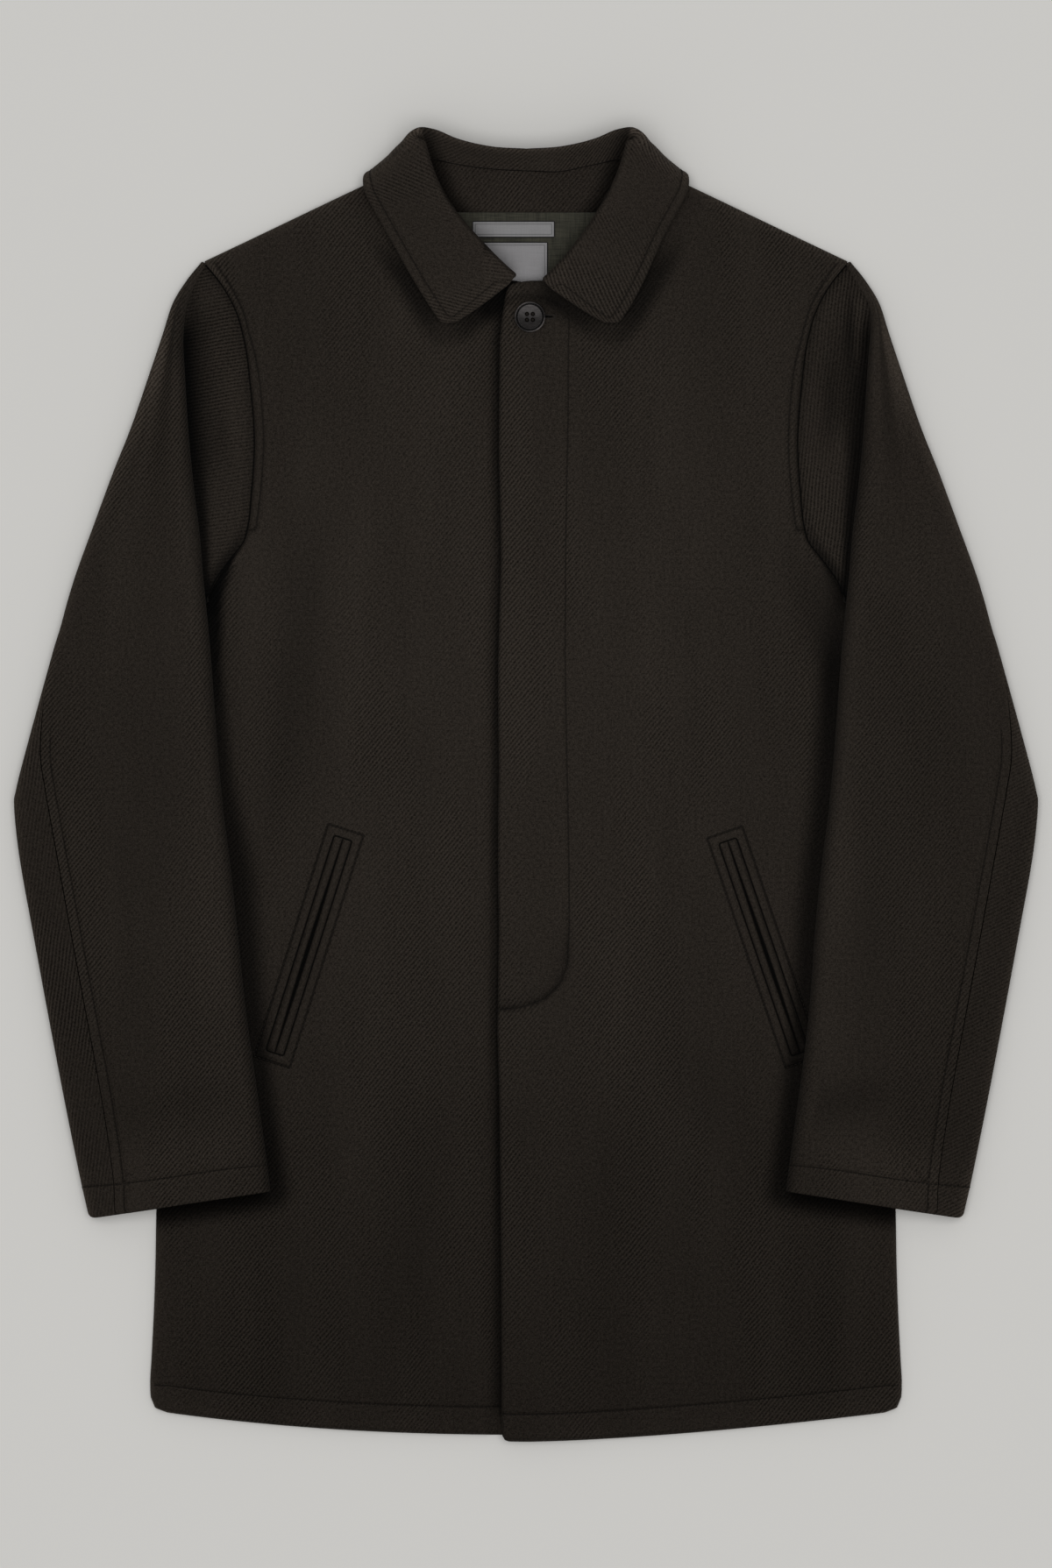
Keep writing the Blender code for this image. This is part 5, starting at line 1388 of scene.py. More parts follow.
cuff_rows = 20.0 - np.array([0.0, 0.006, 0.018, 0.04, 0.075, 0.12])
sleeve_along = np.concatenate([cuff_rows, np.linspace(19.8, 12.0, 66), np.linspace(11.9, 0.0, 120)])
top_across = in_steps((0.0, 0.5, 1.0, 1.5, 2.0), (14, 30, 20, 26))
under_across = in_steps((0.0, 1.0, 2.0), (24, 26))
crest_column = int(np.argmin(np.abs(top_across - 1.0)))
sleeve_runs = []
for side, mirror in SIDES.items():
    flip = np.array([mirror, 1.0, 1.0])
    thin = np.minimum(1.0, sleeve_frame(side, sleeve_along)["loft"] / SLEEVE_LOFT) ** 1.5
    across, along = np.meshgrid(top_across, sleeve_along)
    face = top_sleeve_face(side, across, along)
    seam_along = np.linspace(*BACK_ARM_SECTIONS, 120)
    seam_run = on_sleeve(past_back_arm, side, np.full(120, BACK_ARM_STITCH), seam_along)
    cuff_across = np.linspace(*CUFF_STITCH_ACROSS, 60)
    cuff_share = np.interp(cuff_across, [0.0, 0.5, 1.0], [0.0, 0.04, 1.0])
    cuff_along = CUFF_STITCH[0] + (CUFF_STITCH[1] - CUFF_STITCH[0]) * cuff_share
    cuff_run = on_sleeve(top_sleeve_face, side, cuff_across, cuff_along)
    strip_across = np.linspace(*STRIP_STITCH_ACROSS, 80)
    strip_run = on_sleeve(under_sleeve_face, side, strip_across, np.full(80, CUFF_STITCH[0]))
    sleeve_runs += [(points * flip, normals * flip) for points, normals in (seam_run, cuff_run, strip_run)]
    distance = line_distance(face[..., :2], seam_run[0][:, :2], cuff_run[0][:, :2])
    distance = np.where(across < 1.3, distance, FAR_OFF)
    r = sleeve_frame(side, along)
    past_crest = (face[..., 0] - r["crest_x"]) * r["dir_x"] + (face[..., 1] - r["crest_y"]) * r["dir_y"]
    from_edge = past_crest + r["width"]
    outside = across <= 1.0
    before_fold = across <= 1.25
    into_valley = np.maximum(past_crest, 0.0)
    valley = sum(depth * hump(into_valley, reach) for depth, reach in VALLEY_SHADE[side])
    valley = valley * smooth(along, *VALLEY_FROM)
    low = smooth(along, LOW_FROM[side], LOW_FROM[side] + 1.0)
    low_valley = LOW_VALLEY[2] * np.exp(-(into_valley / np.interp(along, *LOW_VALLEY[:2])) ** 4)
    valley = valley * (1.0 - low) + low_valley * low
    brim = BRIM_SHADE * smooth(across, *BRIM_ACROSS) * smooth(along, *BRIM_FROM)
    shade = 1.0 - np.where(before_fold, brim, valley)
    # A streak of painted shade just before the crest where it begins
    depth, at, breadth, end = HEAD_SHADE_STREAK[side]
    streak_shade = depth * smooth(along, *SHADE_STREAK_FROM) * (1.0 - smooth(along, end - 1.0, end)) * before_fold
    shade = shade * line_light(past_crest + at, streak_shade, breadth)
    to_armhole = run_along(face, 1)
    to_armhole = to_armhole[:, -1:] - to_armhole - CAP_TUCK
    by_seam = (SEAM_SHADE[0] + LOW_SEAM_SHADE[0] * smooth(along, *LOW_SEAM_FROM[0])) * (across > 1.5)
    seam_reach = SEAM_SHADE[1] + LOW_SEAM_SHADE[1] * smooth(along, *LOW_SEAM_FROM[1])
    shade = shade * (1.0 - by_seam * np.exp(-(np.maximum(to_armhole, 0.0) / seam_reach) ** 3))
    shade = shade * (1.0 - CAP_END[side] * smooth(along, *CAP_END_FROM) * ~before_fold)
    on_head = smooth(along, *HEAD_FROM) * (1.0 - smooth(along, *HEAD_TO)) * outside
    shade = shade * line_light(from_edge, -HEAD_GLOW[0] * on_head, HEAD_GLOW[1])
    edge_glow = SLEEVE_GLOW[0] + (SLEEVE_GLOW[1] - SLEEVE_GLOW[0]) * smooth(along, *HEAD_TO)
    shade = shade * edge_light(from_edge, edge_glow * outside)
    shade = shade * (1.0 + FOREARM_LIGHT[0] * smooth(along, *FOREARM_LIGHT[1:]))
    on_cuff = CUFF_LIGHT[side] * smooth(along, *CUFF_FROM)
    shade = shade * (1.0 + on_cuff * smooth(-past_crest, *CUFF_ACROSS) * outside)
    x, y = face[..., 0], face[..., 1]
    shade = shade * (1.0 + FOLD_LIGHT * ridges(SLEEVE_FOLDS[side], x, y) * outside)
    shade = shade * (1.0 + ridges(HEAD_GLINT, x, y) * outside)
    shade = shade * (1.0 + ridges(CAP_FOLDS[side], x, y) * r["cap"] * ~before_fold)
    ditch = np.where((across > 1.5) & (r["cap"] > 0.5), stretched(to_armhole), FAR_OFF)
    face = rounded_end(face * flip, 5, CUFF_ROUND)
    sleeve_map = cloth_map(face, 20, crest_column - 4)
    into_cap = (smooth(across, 1.3, 1.5) * r["cap"])[..., None]
    twill_map = sleeve_map * (1 - into_cap) + turned(face[..., :2], TWILL_ANGLE - CAP_TWILL[side]) * into_cap
    piece = cloth_shell("top_sleeve_cloth_" + side, face, twill_map, SLEEVE_CLOTH * thin, COAT_TWILL,
                        stitch=distance, seam=ditch, shade=shade,
                        nap=SLEEVE_NAP[side] * (1.0 - into_cap[..., 0]) + CAP_NAP * into_cap[..., 0])
    lay(piece, face, sleeve_map, ["front_" + side], "shell_twill", "top_sleeve_" + side)
    across, along = np.meshgrid(under_across, sleeve_along)
    face = under_sleeve_face(side, across, along)
    cuff_gap = (along - CUFF_STITCH[0]) * CUFF_ROW
    r = sleeve_frame(side, along)
    from_outer = (face[..., 0] - r["outer_x"]) * r["dir_x"] + (face[..., 1] - r["outer_y"]) * r["dir_y"]
    shade = edge_light(from_outer, SLEEVE_GLOW[1]) * (1.0 + CUFF_LIGHT[side] * smooth(along, *CUFF_FROM))
    face = face * flip
    under_map = cloth_map(face, 4, 30, -1.0)
    twill_map = turned(under_map, TWILL_ANGLE - UNDER_TWILL[side])
    piece = cloth_shell("under_sleeve_cloth_" + side, face, twill_map, SLEEVE_CLOTH * thin, COAT_TWILL,
                        up=-1.0, stitch=stretched(cuff_gap), shade=shade, nap=UNDER_NAP)
    lay(piece, face, under_map, ["floor"], "shell_twill", "under_sleeve_" + side)
sewn("sleeve_stitching", sleeve_runs, COAT_THREAD)


# Collar
# One turned-down collar of two layers of twill sewn into the neck seam: a stand that rises inside the neck,
# rolls over and falls outside it, with its edges turned, pressed soft and topstitched.

# Stations from the middle of the back to a leaf's front end: out is the way from the roll in degrees from +X,
# and under is 1 where the fall drops down behind
COLLAR_COLUMNS = "station neck_x neck_y roll_x roll_y roll_z out edge_x edge_y edge_z under".split()
COLLAR = [
    (0.00, 0.0, 441.2, 0.0, 449.8, 24.5, 90, 0.0, 427.8, 0.0, 1.0),
    (0.14, 25.2, 442.4, 25.2, 451.4, 25.0, 88, 27.7, 427.0, 0.0, 1.0),
    (0.28, 50.4, 445.9, 49.8, 457.0, 27.0, 83, 58.0, 426.0, 0.0, 1.0),
    (0.38, 66.8, 449.3, 63.8, 463.2, 29.5, 68, 86.0, 426.0, 0.0, 1.0),
    (0.44, 76.0, 449.2, 72.6, 466.0, 30.6, 45, 104.0, 432.0, 0.0, 0.9),
    (0.49, 82.0, 445.6, 77.6, 464.6, 31.2, 15, 116.0, 438.0, 1.5, 0.5),
    (0.54, 83.0, 439.5, 76.4, 460.6, 31.0, -12, 118.0, 434.5, 9.0, 0.0),
    (0.60, 81.0, 431.5, 73.5, 449.5, 29.8, -23, 116.4, 425.2, 0.0, 0.0),
    (0.68, 74.5, 417.0, 67.0, 431.5, 27.5, -28, 109.5, 411.7, 0.0, 0.0),
    (0.78, 61.0, 398.5, 54.0, 409.5, 24.8, -32, 95.5, 386.7, 0.0, 0.0),
    (0.89, 39.0, 379.0, 34.0, 386.5, 21.8, -41, 78.0, 356.7, 0.0, 0.0),
    (0.95, 23.4, 371.0, 21.5, 374.7, 20.1, -49, 66.3, 338.6, 0.0, 0.0),
    (0.975, 16.6, 368.4, 15.7, 369.7, 19.3, -52, 60.8, 331.8, 0.0, 0.0),
    (1.00, 10.8, 366.0, 10.0, 365.0, 18.6, -54, 50.6, 331.4, 0.0, 0.0),
]
COLLAR_CLOTH = 2.9
COLLAR_REST = 4.0
LEAF_SHIFT = {"right": 0.0, "left": 6.0}
LEAF_SHIFT_FROM = (0.72, 0.96)
# The leaves' front ends reach on towards the middle and down: x and y, and the stations they start and end at
LEAF_TIP = {"right": (-0.6, -2.1), "left": (-1.6, -5.0)}
LEAF_TIP_FROM = (0.86, 1.0)
STRAIGHT_FROM = (0.84, 0.97)
# A leaf's crease in roll radii: rise inside, reach and rise of its crown; its rounded end, share and depth
CREASE = (0.25, 0.5, 0.95)
TIP_ROUND = (0.010, 2.6)
# The fall swells out where it comes over the shoulder, station and breadth with two lengths and the way in
# plan, and along its front end
SHOULDER_SWELL = (0.505, 0.035, 3.2, 1.2)
SWELL_WAY = (0.72, 0.69, 0.0)
FRONT_SWELL = (0.8, 1.8, 1.4)
FRONT_SWELL_FROM = (0.9, 1.0)
# Behind the neck: stations where its dip ends, the roll's brow in radii out and up, and the stand's slope
DIP_END = (0.3, 0.45)
BROW = (0.8, -0.2)
STAND_SLOPE = (0.6, 0.8)
# The padded rim, inset, half breadth and height, and its stitching's groove, half breadth and depth
COLLAR_RIM = (3.4, 2.0, 0.5)
COLLAR_GROOVE = (1.1, 0.35)
ROLL_RADIUS = 4.6
FALL_LEAVES_AT = 60.0
NECK_REST = 1.3
STAND_REST = 2.0
# Stations where the collar comes over the front, and points of its fall: there as shares, and behind
OVER_FRONT = (0.50, 0.58)
FALL_UPPER = (0.40, 0.62)
FALL_LOWER = (0.72, 0.24)
DROP_REACH = 0.85
DROP_HEIGHT = 7.5
TURN_HEIGHT = 0.6
TURN_WAY = 0.2
COLLAR_ROUND = 2.1
COLLAR_STITCH = 7.3
FRONT_STITCH = 8.3
COLLAR_SWEEP = 13.5
# Shares of the way across at the roll and where the fall begins and its lines end, and a distance that keeps
# those lines off the stand
ROLL_ACROSS = 0.34
FALL_FROM = (0.40, 0.56)
FALL_LINES_TO = 0.93
OFF_FALL = 40.0
# Where the collar comes over the shoulders in plan, half width and y; the light on that edge, on the back's
# roll and on the stand, and the shade inside the leaves
COLLAR_PEAK = [(77, 471.5), (82, 469), (88, 462.5), (94.5, 456.5), (101, 450), (109, 444), (116.5, 437.5)]
PEAK_GLOW = (2.3, 4.2, 1.15)
ROLL_GLOW = 0.7
ROLL_GLOW_END = (0.36, 0.44)
STAND_LIGHT = 0.12
STAND_SHADE = (1.5, 14.0, 0.6)
STAND_NAP = -0.6


def collar_face(side, across, station):
    """Visible face of half the collar, from the neck seam (0) over the roll to the edge of the fall (1).

    Each section is a cubic spline through seven knots read from the table: neck, inside, top and outside of
    the roll, two points down the fall, and its edge; slopes at the knots are weighted by the lengths of their
    chords. The fold of a leaf is creased towards the neck, and its front end runs straight from the roll.
    """
    rows = np.array(COLLAR, float)
    c = {n: through(rows[:, 0], rows[:, i], station) for i, n in enumerate(COLLAR_COLUMNS) if i}
    for key in ("neck_x", "roll_x", "edge_x"):
        c[key] = c[key] + LEAF_SHIFT[side] * smooth(station, *LEAF_SHIFT_FROM)
    for key in ("neck", "roll"):
        c[key + "_x"] = c[key + "_x"] + LEAF_TIP[side][0] * smooth(station, *LEAF_TIP_FROM)
        c[key + "_y"] = c[key + "_y"] + LEAF_TIP[side][1] * smooth(station, *LEAF_TIP_FROM)
    at, breadth, depth = NECK_DIP
    dip = depth * hump(SIDES[side] * c["neck_x"] - at, breadth)
    c["neck_y"] = c["neck_y"] - dip * (1.0 - smooth(station, *DIP_END))
    under = np.clip(c["under"], 0.0, 1.0)
    out = np.radians(c["out"])
    lead = np.stack([np.cos(out), np.sin(out), np.zeros_like(out)], -1)
    chord = unit(np.stack([c["edge_x"] - c["roll_x"], c["edge_y"] - c["roll_y"], np.zeros_like(out)], -1))
    lead = unit(lead + smooth(station, *STRAIGHT_FROM)[..., None] * (chord - lead))
    up = np.array([0.0, 0.0, 1.0])
    over = smooth(station, *OVER_FRONT)
    seat = front_top(side, c["neck_x"], c["neck_y"])
    back_seat = lift(c["neck_y"]) + BACK_CLOTH + FACING_CLOTH + 2 * SEAM_GAP
    neck_z = over * (seat + NECK_REST) + (1 - over) * (back_seat + STAND_REST)
    neck = np.stack([c["neck_x"], c["neck_y"], neck_z], -1)
    roll = np.stack([c["roll_x"], c["roll_y"], c["roll_z"]], -1)
    resting = front_top(side, c["edge_x"], c["edge_y"]) + COLLAR_CLOTH + COLLAR_REST
    edge_z = np.maximum(c["edge_z"], 0.0) * (1 - over) + resting * over
    edge = np.stack([c["edge_x"], c["edge_y"], edge_z], -1)
    leave = np.radians(FALL_LEAVES_AT) * (1 - under)
    fall = lead * np.cos(leave)[..., None] + up * np.sin(leave)[..., None]
    top = roll[..., 2] + ROLL_RADIUS
    w = under[..., None]
    flat_a = roll + FALL_UPPER[0] * (edge - roll)
    flat_a[..., 2] = edge_z + FALL_UPPER[1] * (top - edge_z)
    flat_b = roll + FALL_LOWER[0] * (edge - roll)
    flat_b[..., 2] = edge_z + FALL_LOWER[1] * (top - edge_z)
    drop_a = roll + lead * ROLL_RADIUS * DROP_REACH
    drop_a[..., 2] = DROP_HEIGHT
    drop_b = drop_a + TURN_WAY * (edge - drop_a)
    drop_b[..., 2] = TURN_HEIGHT
    brow = roll + lead * ROLL_RADIUS * BROW[0] + up * ROLL_RADIUS * BROW[1]
    slope = neck + STAND_SLOPE[0] * (brow - neck) - up * STAND_SLOPE[1]
    tip = np.clip(1.0 - (1.0 - station) / TIP_ROUND[0], 0.0, 1.0)
    tip = lead * (TIP_ROUND[1] * quarter_drop(tip))[..., None]
    inside = roll + ROLL_RADIUS * (CREASE[0] * up - lead) + tip
    crown = roll + ROLL_RADIUS * (CREASE[2] * up - CREASE[1] * lead) + tip * 0.6
    at, breadth, first, second = SHOULDER_SWELL
    swell = hump(station - at, breadth)[..., None] * np.array(SWELL_WAY)
    square = np.stack([chord[..., 1], -chord[..., 0], np.zeros_like(out)], -1)
    square = square * smooth(station, *FRONT_SWELL_FROM)[..., None]
    knots = np.stack([neck, slope * w + inside * (1 - w), brow * w + crown * (1 - w),
                      roll + fall * ROLL_RADIUS + FRONT_SWELL[0] * square,
                      drop_a * w + flat_a * (1 - w) + first * swell + FRONT_SWELL[1] * square,
                      drop_b * w + flat_b * (1 - w) + second * swell + FRONT_SWELL[2] * square, edge], 0)
    span = np.linalg.norm(np.diff(knots, axis=0), axis=-1, keepdims=True)
    run = np.diff(knots, axis=0) / span
    turning = (run[:-1] * span[1:] + run[1:] * span[:-1]) / (span[:-1] + span[1:])
    slopes = np.concatenate([run[:1], turning, run[-1:]])
    at = np.clip(across, 0.0, 1.0) * (len(knots) - 1)
    i = np.clip(at.astype(int), 0, len(knots) - 2)
    u = (at - i)[..., None]
    pick = np.indices(i.shape)
    a, b, step = knots[(i, *pick)], knots[(i + 1, *pick)], span[(i, *pick)]
    shorter = np.minimum(step, 1.2 * span[(np.minimum(i + 1, len(span) - 1), *pick)])
    sa, sb = slopes[(i, *pick)] * step, slopes[(i + 1, *pick)] * np.where((i == 0)[..., None], shorter, step)
    point = (1 + 2 * u) * (1 - u) ** 2 * a + u * (1 - u) ** 2 * sa
    point = point + u * u * (3 - 2 * u) * b + u * u * (u - 1) * sb
    point[..., 2] = np.maximum(point[..., 2], 0.0)
    return point


def at_level(points, distance, level):
    """Points where a distance that falls along each row first passes a level, by linear interpolation."""
    j = np.maximum(np.argmax(distance < level, axis=1), 1)
    rows = np.arange(len(points))
    before, after = distance[rows, j - 1], distance[rows, j]
    w = ((before - level) / (before - after))[:, None]
    return points[rows, j - 1] * (1 - w) + points[rows, j] * w


near_edge = np.array([0.952, 0.962, 0.972, 0.981, 0.988, 0.993, 0.997, 1.0])
collar_across = np.concatenate([np.linspace(0.0, 0.94, 62), near_edge])
near_end = np.array([0.955, 0.962, 0.969, 0.976, 0.983, 0.989, 0.993, 0.996, 0.998, 1.0])
collar_station = np.concatenate([in_steps((0.0, 0.4, 0.62, 0.948), (34, 40, 44)), near_end])
halves = []
for side, mirror in SIDES.items():
    half = collar_face(side, *np.meshgrid(collar_across, collar_station))
    half[0, :, 0] = 0.0
    halves.append(half * np.array([mirror, 1.0, 1.0]))
collar = np.concatenate([halves[0][:0:-1], halves[1]])
across_run = run_along(collar, 1)
along_run = run_along(collar, 0)
to_edge = across_run[:, -1:] - across_run
on_fall = smooth(np.tile(collar_across, (len(collar), 1)), *FALL_FROM)
to_front = np.minimum(along_run, along_run[-1:] - along_run) + OFF_FALL * (1.0 - on_fall)
rim_gap = np.minimum(to_edge, to_front)
normal = grid_normals(collar)
normal = normal * np.sign(normal[..., 2].mean())
inward = np.clip(1.0 - rim_gap / COLLAR_ROUND, 0.0, 1.0)
puff = COLLAR_RIM[2] * hump(rim_gap - COLLAR_RIM[0], COLLAR_RIM[1])
puff = puff - COLLAR_GROOVE[1] * hump(rim_gap - COLLAR_STITCH, COLLAR_GROOVE[0])
collar = collar + normal * (puff - COLLAR_ROUND * quarter_drop(inward))[..., None]
collar[..., 2] = np.maximum(collar[..., 2], 0.0)
roll_column = int(np.argmin(np.abs(collar_across - ROLL_ACROSS)))
roll_run = along_run[:, roll_column]
roll_run = roll_run - roll_run.mean()
heading = np.radians(-COLLAR_SWEEP * roll_run / roll_run.max())[:, None]
between = (heading[1:] + heading[:-1]) / 2
steps = np.concatenate([np.cos(between), np.sin(between)], -1) * np.diff(roll_run)[:, None]
arc = np.concatenate([np.zeros((1, 2)), np.cumsum(steps, axis=0)])
rise = across_run - across_run[:, roll_column][:, None]
collar_map = arc[:, None, :] + np.stack([-rise * np.sin(heading), rise * np.cos(heading)], -1)
stitch_gap = np.minimum(to_edge - COLLAR_STITCH, to_front - FRONT_STITCH)
stand_plan = np.stack([np.abs(collar[..., 0]), collar[..., 1]], -1)
fold_x, fold_y = np.array(LEAF_FOLD[::-1]).T
inside_neck = smooth(through(fold_y, fold_x, stand_plan[..., 1]) - stand_plan[..., 0], -0.3, 0.8)
collar_shade = 1.0 - inside_neck * (1.0 - light_left(stand_plan, LEAF_FOLD, *STAND_SHADE))
both_stations = np.abs(np.concatenate([-collar_station[:0:-1], collar_station]))[:, None]
from_peak = from_line(stand_plan, np.array(COLLAR_PEAK))[0]
from_roll = collar[..., 1].max(axis=1, keepdims=True) - collar[..., 1]
collar_shade = collar_shade * (1.0 + STAND_LIGHT * inside_neck) * edge_light(np.abs(from_peak), *PEAK_GLOW)
collar_shade = collar_shade * edge_light(from_roll, ROLL_GLOW * (1.0 - smooth(both_stations, *ROLL_GLOW_END)))
collar_piece = cloth_shell("collar_cloth", collar, collar_map, COLLAR_CLOTH, COAT_TWILL,
                           stitch=stretched(stitch_gap), seam=stretched(across_run * 1.2 + 0.5),
                           shade=collar_shade, nap=STAND_NAP * inside_neck)
lay(collar_piece, collar, collar_map, ["neck_facing", "front_left", "front_right"], "shell_twill", "collar")
inside_ends = to_front[:, -1] > FRONT_STITCH
collar_runs = [tuple(at_level(part, to_edge, COLLAR_STITCH)[inside_ends] for part in (collar, normal))]
fall_columns = (collar_across > FALL_FROM[1]) & (collar_across < FALL_LINES_TO)
middle_row = len(collar) // 2
for rows in (slice(middle_row, None), slice(middle_row, None, -1)):
    parts = (collar, normal, to_front)
    points, faces_up, gaps = (np.swapaxes(part[rows][:, fall_columns], 0, 1) for part in parts)
    collar_runs.append((at_level(points, gaps, FRONT_STITCH), at_level(faces_up, gaps, FRONT_STITCH)))
sewn("collar_stitching", collar_runs, COAT_THREAD)


# Button and buttonhole
# A dark horn-like button with a raised rim, a dished middle and four holes, sewn on with dark thread. Its
# buttonhole is cut through the fly and bound with close stitches; its end shows beside the button.

BUTTON_CENTRE = (2.8, 335.9)
BUTTON_TILT = 8.0
HOLE_RADIUS = 1.45
HOLE_OFFSET = 2.95
HOLE_DEPTH = 1.8
HORN_DARK = (0.0080, 0.0071, 0.0069)
HORN_LIGHT = (0.0150, 0.0135, 0.0132)
# Profile from the middle of the dish to the underside: radius, height
BUTTON_PROFILE = [(0.05, 1.95), (2.0, 2.0), (4.0, 2.15), (6.0, 2.42), (7.6, 2.72), (8.5, 2.93), (8.8, 2.94),
                  (9.0, 2.75), (9.15, 2.0), (9.45, 1.85), (9.75, 2.0), (9.9, 2.9), (10.15, 3.35), (10.5, 3.5),
                  (10.8, 3.35), (11.0, 2.9), (11.05, 2.2), (10.8, 1.3), (10.0, 0.5), (8.6, 0.1), (0.05, 0.0)]
# Painted light: over the dish as strength, start and end up it and power; on the rim as strength, turn in
# half circles and breadth; in the groove and holes; and the radii where groove and rim begin
DISH_LIGHT = (2.0, -0.55, 1.0, 1.3)
DISH_RADIUS = 8.5
RIM_LIGHTS = [(3.6, 0.72, 0.8), (5.0, 1.75, 0.7)]
GROOVE_LIGHT = 0.2
GROOVE_FROM = (8.6, 9.0)
RIM_FROM = (9.75, 10.1)
HOLE_LIGHT = 0.1
SLIT_END = (19.6, 336.2)
SLIT_START = (-2.0, 336.2)
SLIT_HALF = 0.7
BINDING_HALF = 1.35
HOLE_THREAD_TINT = (0.0135, 0.0115, 0.0098)


def horn(name):
    """Horn: soft streaks and clouds between two tones on object coordinates, times the painted light and
    shade that the disc carries, with fine scratches.
    """
    material, tree, shader = new_material(name)
    place = add_node(tree, "ShaderNodeTexCoord", {}).outputs["Object"]
    drawn = scaled(tree, place, (1.0, 3.2, 1.0))
    clouds = eased(tree, noise(tree, drawn, 210.0, 4.0), 0.3, 0.75, 0.0, 1.0)
    scratch = noise(tree, drawn, 3000.0, 2.0)
    colour = toned(tree, clouds, HORN_DARK, HORN_LIGHT, attribute(tree, "shade"))
    rough = eased(tree, scratch, 0.3, 0.7, 0.24, 0.32)
    finished(tree, shader, colour, rough, scratch, strength=0.08, distance=0.0001, specular=0.08)
    return material


profile = np.array(BUTTON_PROFILE)
profile_run = run_along(profile, 0)
fine_run = in_steps((0.0, 8.6, 14.6, profile_run[-1]), (46, 56, 12))
lathe_r = np.interp(fine_run, profile_run, profile[:, 0])
lathe_z = np.interp(fine_run, profile_run, profile[:, 1])
turn = np.linspace(0.0, 2 * np.pi, 97)[:-1]
disc_x = lathe_r[:, None] * np.cos(turn)
disc_y = lathe_r[:, None] * np.sin(turn)
disc_z = np.repeat(lathe_z[:, None], 96, axis=1)
strength, low, high, power = DISH_LIGHT
dish_light = 1.0 + strength * smooth(disc_y / DISH_RADIUS, low, high) ** power
rim_light = np.ones_like(turn)
for strength, at, breadth in RIM_LIGHTS:
    rim_light = rim_light + strength * hump(turn - at * np.pi, breadth)
into_groove = smooth(lathe_r, *GROOVE_FROM)[:, None]
onto_rim = smooth(lathe_r, *RIM_FROM)[:, None]
disc_shade = dish_light * (1 - into_groove) + GROOVE_LIGHT * into_groove
disc_shade = disc_shade * (1 - onto_rim) + rim_light * onto_rim
on_dish = (fine_run < 8.0)[:, None]
hole_turn = np.pi / 4 + np.arange(4) * np.pi / 2
holes = HOLE_OFFSET * np.stack([np.cos(hole_turn), np.sin(hole_turn)], -1)
for hole_x, hole_y in holes:
    from_hole = np.hypot(disc_x - hole_x, disc_y - hole_y)
    disc_z = disc_z - HOLE_DEPTH * on_dish * (1.0 - smooth(from_hole, HOLE_RADIUS - 0.22, HOLE_RADIUS + 0.12))
    lit = smooth(from_hole, HOLE_RADIUS - 0.3, HOLE_RADIUS + 0.15)
    disc_shade = disc_shade * (HOLE_LIGHT + (1.0 - HOLE_LIGHT) * lit)
button_seat = float(front_top("left", np.array(BUTTON_CENTRE[0]), np.array(BUTTON_CENTRE[1]))) + SEAM_GAP
tilt = np.tan(np.radians(BUTTON_TILT))
disc_z = disc_z + button_seat + tilt * (profile[:, 0].max() - disc_y)
disc = np.stack([disc_x + BUTTON_CENTRE[0], disc_y + BUTTON_CENTRE[1], disc_z], -1)
index = np.arange(disc_x.size).reshape(disc_x.shape)
after = np.roll(index, -1, axis=1)
walls = np.stack([index[1:], after[1:], after[:-1], index[:-1]], -1).reshape(-1, 4).tolist()
HORN = horn("horn")
button_piece = put_mesh("button_disc", disc, walls + [index[0].tolist(), index[-1, ::-1].tolist()], HORN,
                        values={"shade": disc_shade.ravel()})
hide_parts("button")

button_runs = []
for hole in holes:
    thread_z = button_seat + 0.9 + tilt * (profile[:, 0].max() - hole[1])
    line = np.tile([*(hole + BUTTON_CENTRE), thread_z], (2, 1))
    line[:, 1] += np.array([-1.0, 1.0])
    button_runs.append((line, np.tile([0.0, 0.0, 1.0], (2, 1))))
sewn("button_thread", button_runs, COAT_THREAD, pitch=2.0, length=2.4, width=2.2)

ring = np.linspace(0.0, 2 * np.pi, 160)
ring_x = np.where(np.cos(ring) > 0, SLIT_END[0], SLIT_START[0]) + BINDING_HALF * np.cos(ring)
ring_plan = np.stack([ring_x, SLIT_END[1] + BINDING_HALF * np.sin(ring)], -1)
points, normals = on_front("left", ring_plan)
HOLE_THREAD = thread_finish("hole_thread", HOLE_THREAD_TINT)
sewn("buttonhole_binding", [(points + np.array([0.0, 0.0, 0.12]), normals)], HOLE_THREAD,
     pitch=0.62, length=1.5, width=0.55, lean=np.pi / 2)
# A thin strip of twill painted nearly black stands for the shade inside the buttonhole's slit
gap_u, gap_v = np.meshgrid(np.linspace(0.0, 1.0, 40), np.linspace(-1.0, 1.0, 5))
gap_x = SLIT_START[0] + gap_u * (SLIT_END[0] - SLIT_START[0])
gap_y = SLIT_END[1] + gap_v * SLIT_HALF * np.sqrt(np.clip(1.0 - (2 * gap_u - 1) ** 8, 0.02, 1.0))
gap_face = np.stack([gap_x, gap_y, front_height("left", gap_x, gap_y) + 0.14], -1)
slit_shade_strip = cloth_shell("buttonhole_slit_shade", gap_face, gap_face[..., :2], 0.1, COAT_TWILL, shade=0.04)


# Floor, light and camera
# A plain pale studio floor under an even white dome, with a soft box over the coat's chest and an even light
# on the floor, seen from straight above through a long lens.

FLOOR_TINT = (0.640, 0.633, 0.614)
FLOOR_HALF = 8.0
FLOOR_LEVEL = -0.0002
DOME_TINT = (1.0, 0.995, 0.985)
DOME_STRENGTH = 0.45
FRAME_HEIGHT = 1127.0
# The camera's height is over the coat's middle, which lies here
CAMERA_HEIGHT = 9.0
MIDDLE = (0.0, 0.0003, 0.01)
SENSOR = 36.0

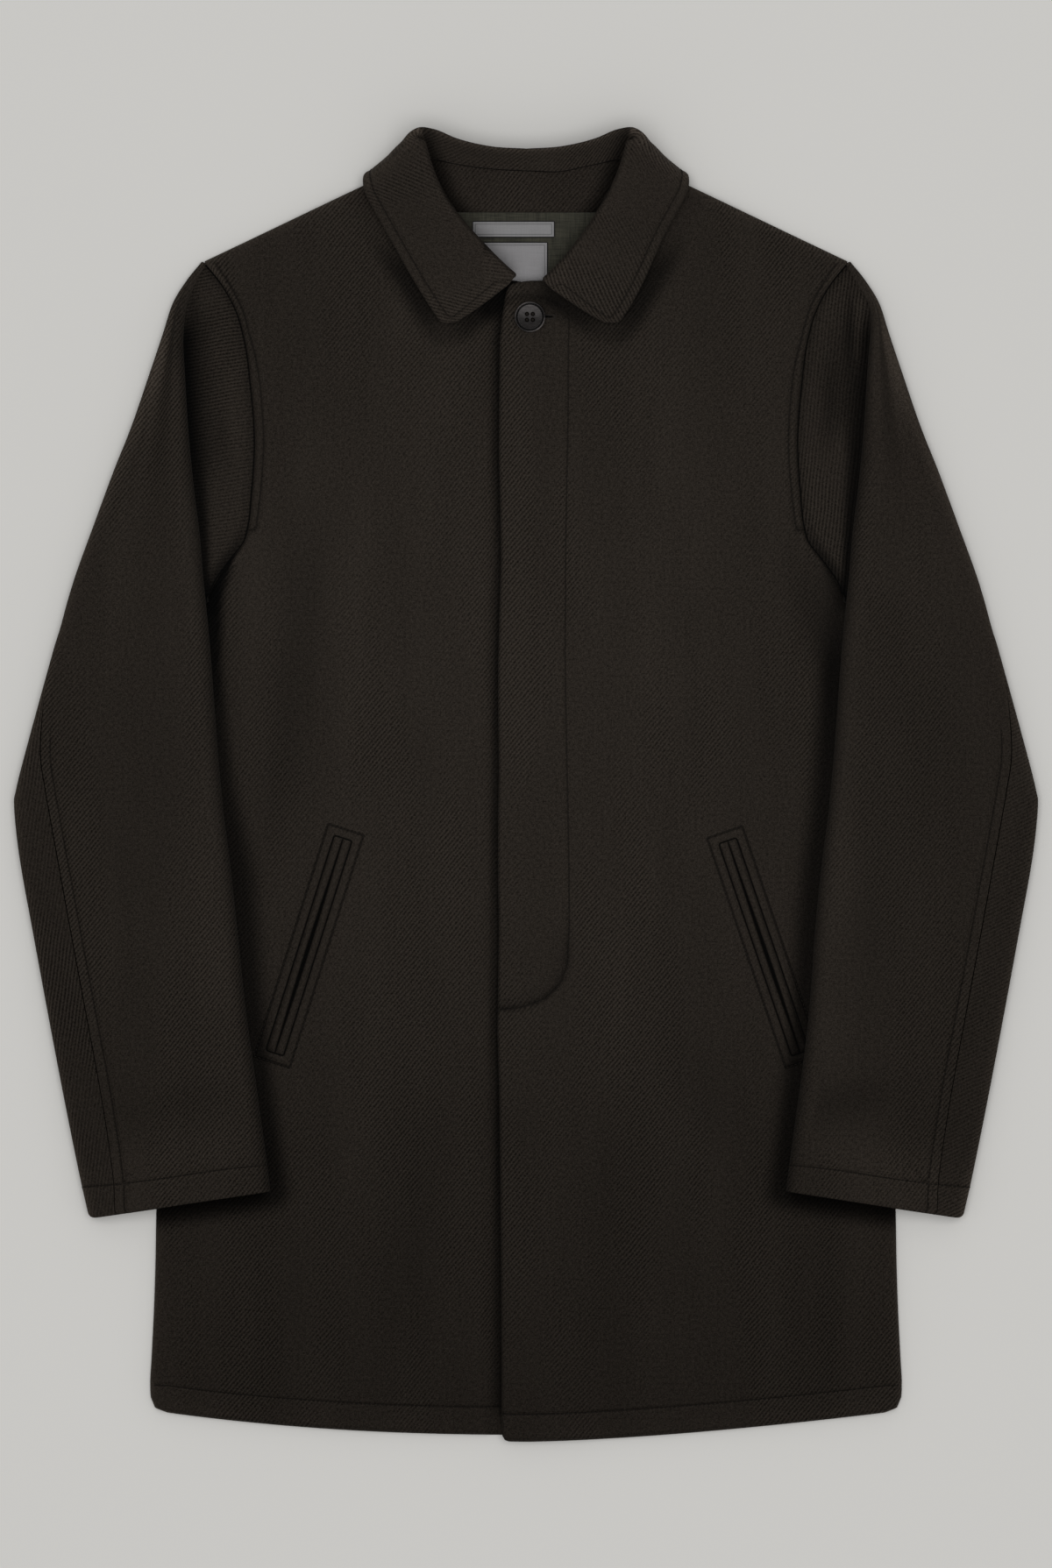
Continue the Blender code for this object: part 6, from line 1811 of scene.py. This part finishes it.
floor_mesh = bpy.data.meshes.new("floor")
corners = [(x * FLOOR_HALF, y * FLOOR_HALF, FLOOR_LEVEL) for x, y in ((-1, -1), (1, -1), (1, 1), (-1, 1))]
floor_mesh.from_pydata(corners, [], [(0, 1, 2, 3)])
floor_material, floor_tree, floor_shader = new_material("studio_floor")
floor_place = add_node(floor_tree, "ShaderNodeTexCoord", {}).outputs["Object"]
floor_low = np.array(FLOOR_TINT) * 0.995
floor_colour = toned(floor_tree, noise(floor_tree, floor_place, 3.0), floor_low, FLOOR_TINT, 1.0)
floor_tree.links.new(floor_colour, floor_shader.inputs["Base Color"])
floor_shader.inputs["Roughness"].default_value = 1.0
floor_shader.inputs["Specular IOR Level"].default_value = 0.0
floor_mesh.materials.append(floor_material)
floor = bpy.data.objects.new("floor", floor_mesh)
bpy.context.scene.collection.objects.link(floor)

world = bpy.data.worlds.new("studio")
bpy.context.scene.world = world
world.use_nodes = True
world.node_tree.nodes["Background"].inputs["Color"].default_value = (*DOME_TINT, 1.0)
world.node_tree.nodes["Background"].inputs["Strength"].default_value = DOME_STRENGTH


def soft_light(name, place, size, power):
    """A rectangular area light at a place in metres, shining straight down."""
    data = bpy.data.lights.new(name, "AREA")
    data.shape = "RECTANGLE"
    data.size, data.size_y = size
    data.energy = power
    lamp = bpy.data.objects.new(name, data)
    lamp.location = place
    lamp.visible_camera = False
    bpy.context.scene.collection.objects.link(lamp)
    return lamp


coat = bpy.data.collections.new("coat")
for piece in bpy.context.scene.objects:
    if piece.type == "MESH" and piece is not floor:
        coat.objects.link(piece)
soft_box = soft_light("soft_box", place=(0.0, 0.15, 0.61), size=(0.6, 0.8), power=4.9)
soft_box.light_linking.receiver_collection = coat
ground = bpy.data.collections.new("ground")
ground.objects.link(floor)
floor_light = soft_light("floor_light", place=(0.0, 0.0, 30.0), size=(30.0, 30.0), power=5460.0)
floor_light.light_linking.receiver_collection = ground

camera_data = bpy.data.cameras.new("camera")
camera_data.sensor_width = SENSOR
camera_data.lens = SENSOR * CAMERA_HEIGHT / (FRAME_HEIGHT * MM)
camera_data.clip_end = 100.0
camera = bpy.data.objects.new("camera", camera_data)
camera.location = (*MIDDLE[:2], MIDDLE[2] + CAMERA_HEIGHT)
bpy.context.scene.collection.objects.link(camera)
bpy.context.scene.camera = camera
bpy.context.scene.view_settings.view_transform = "Standard"
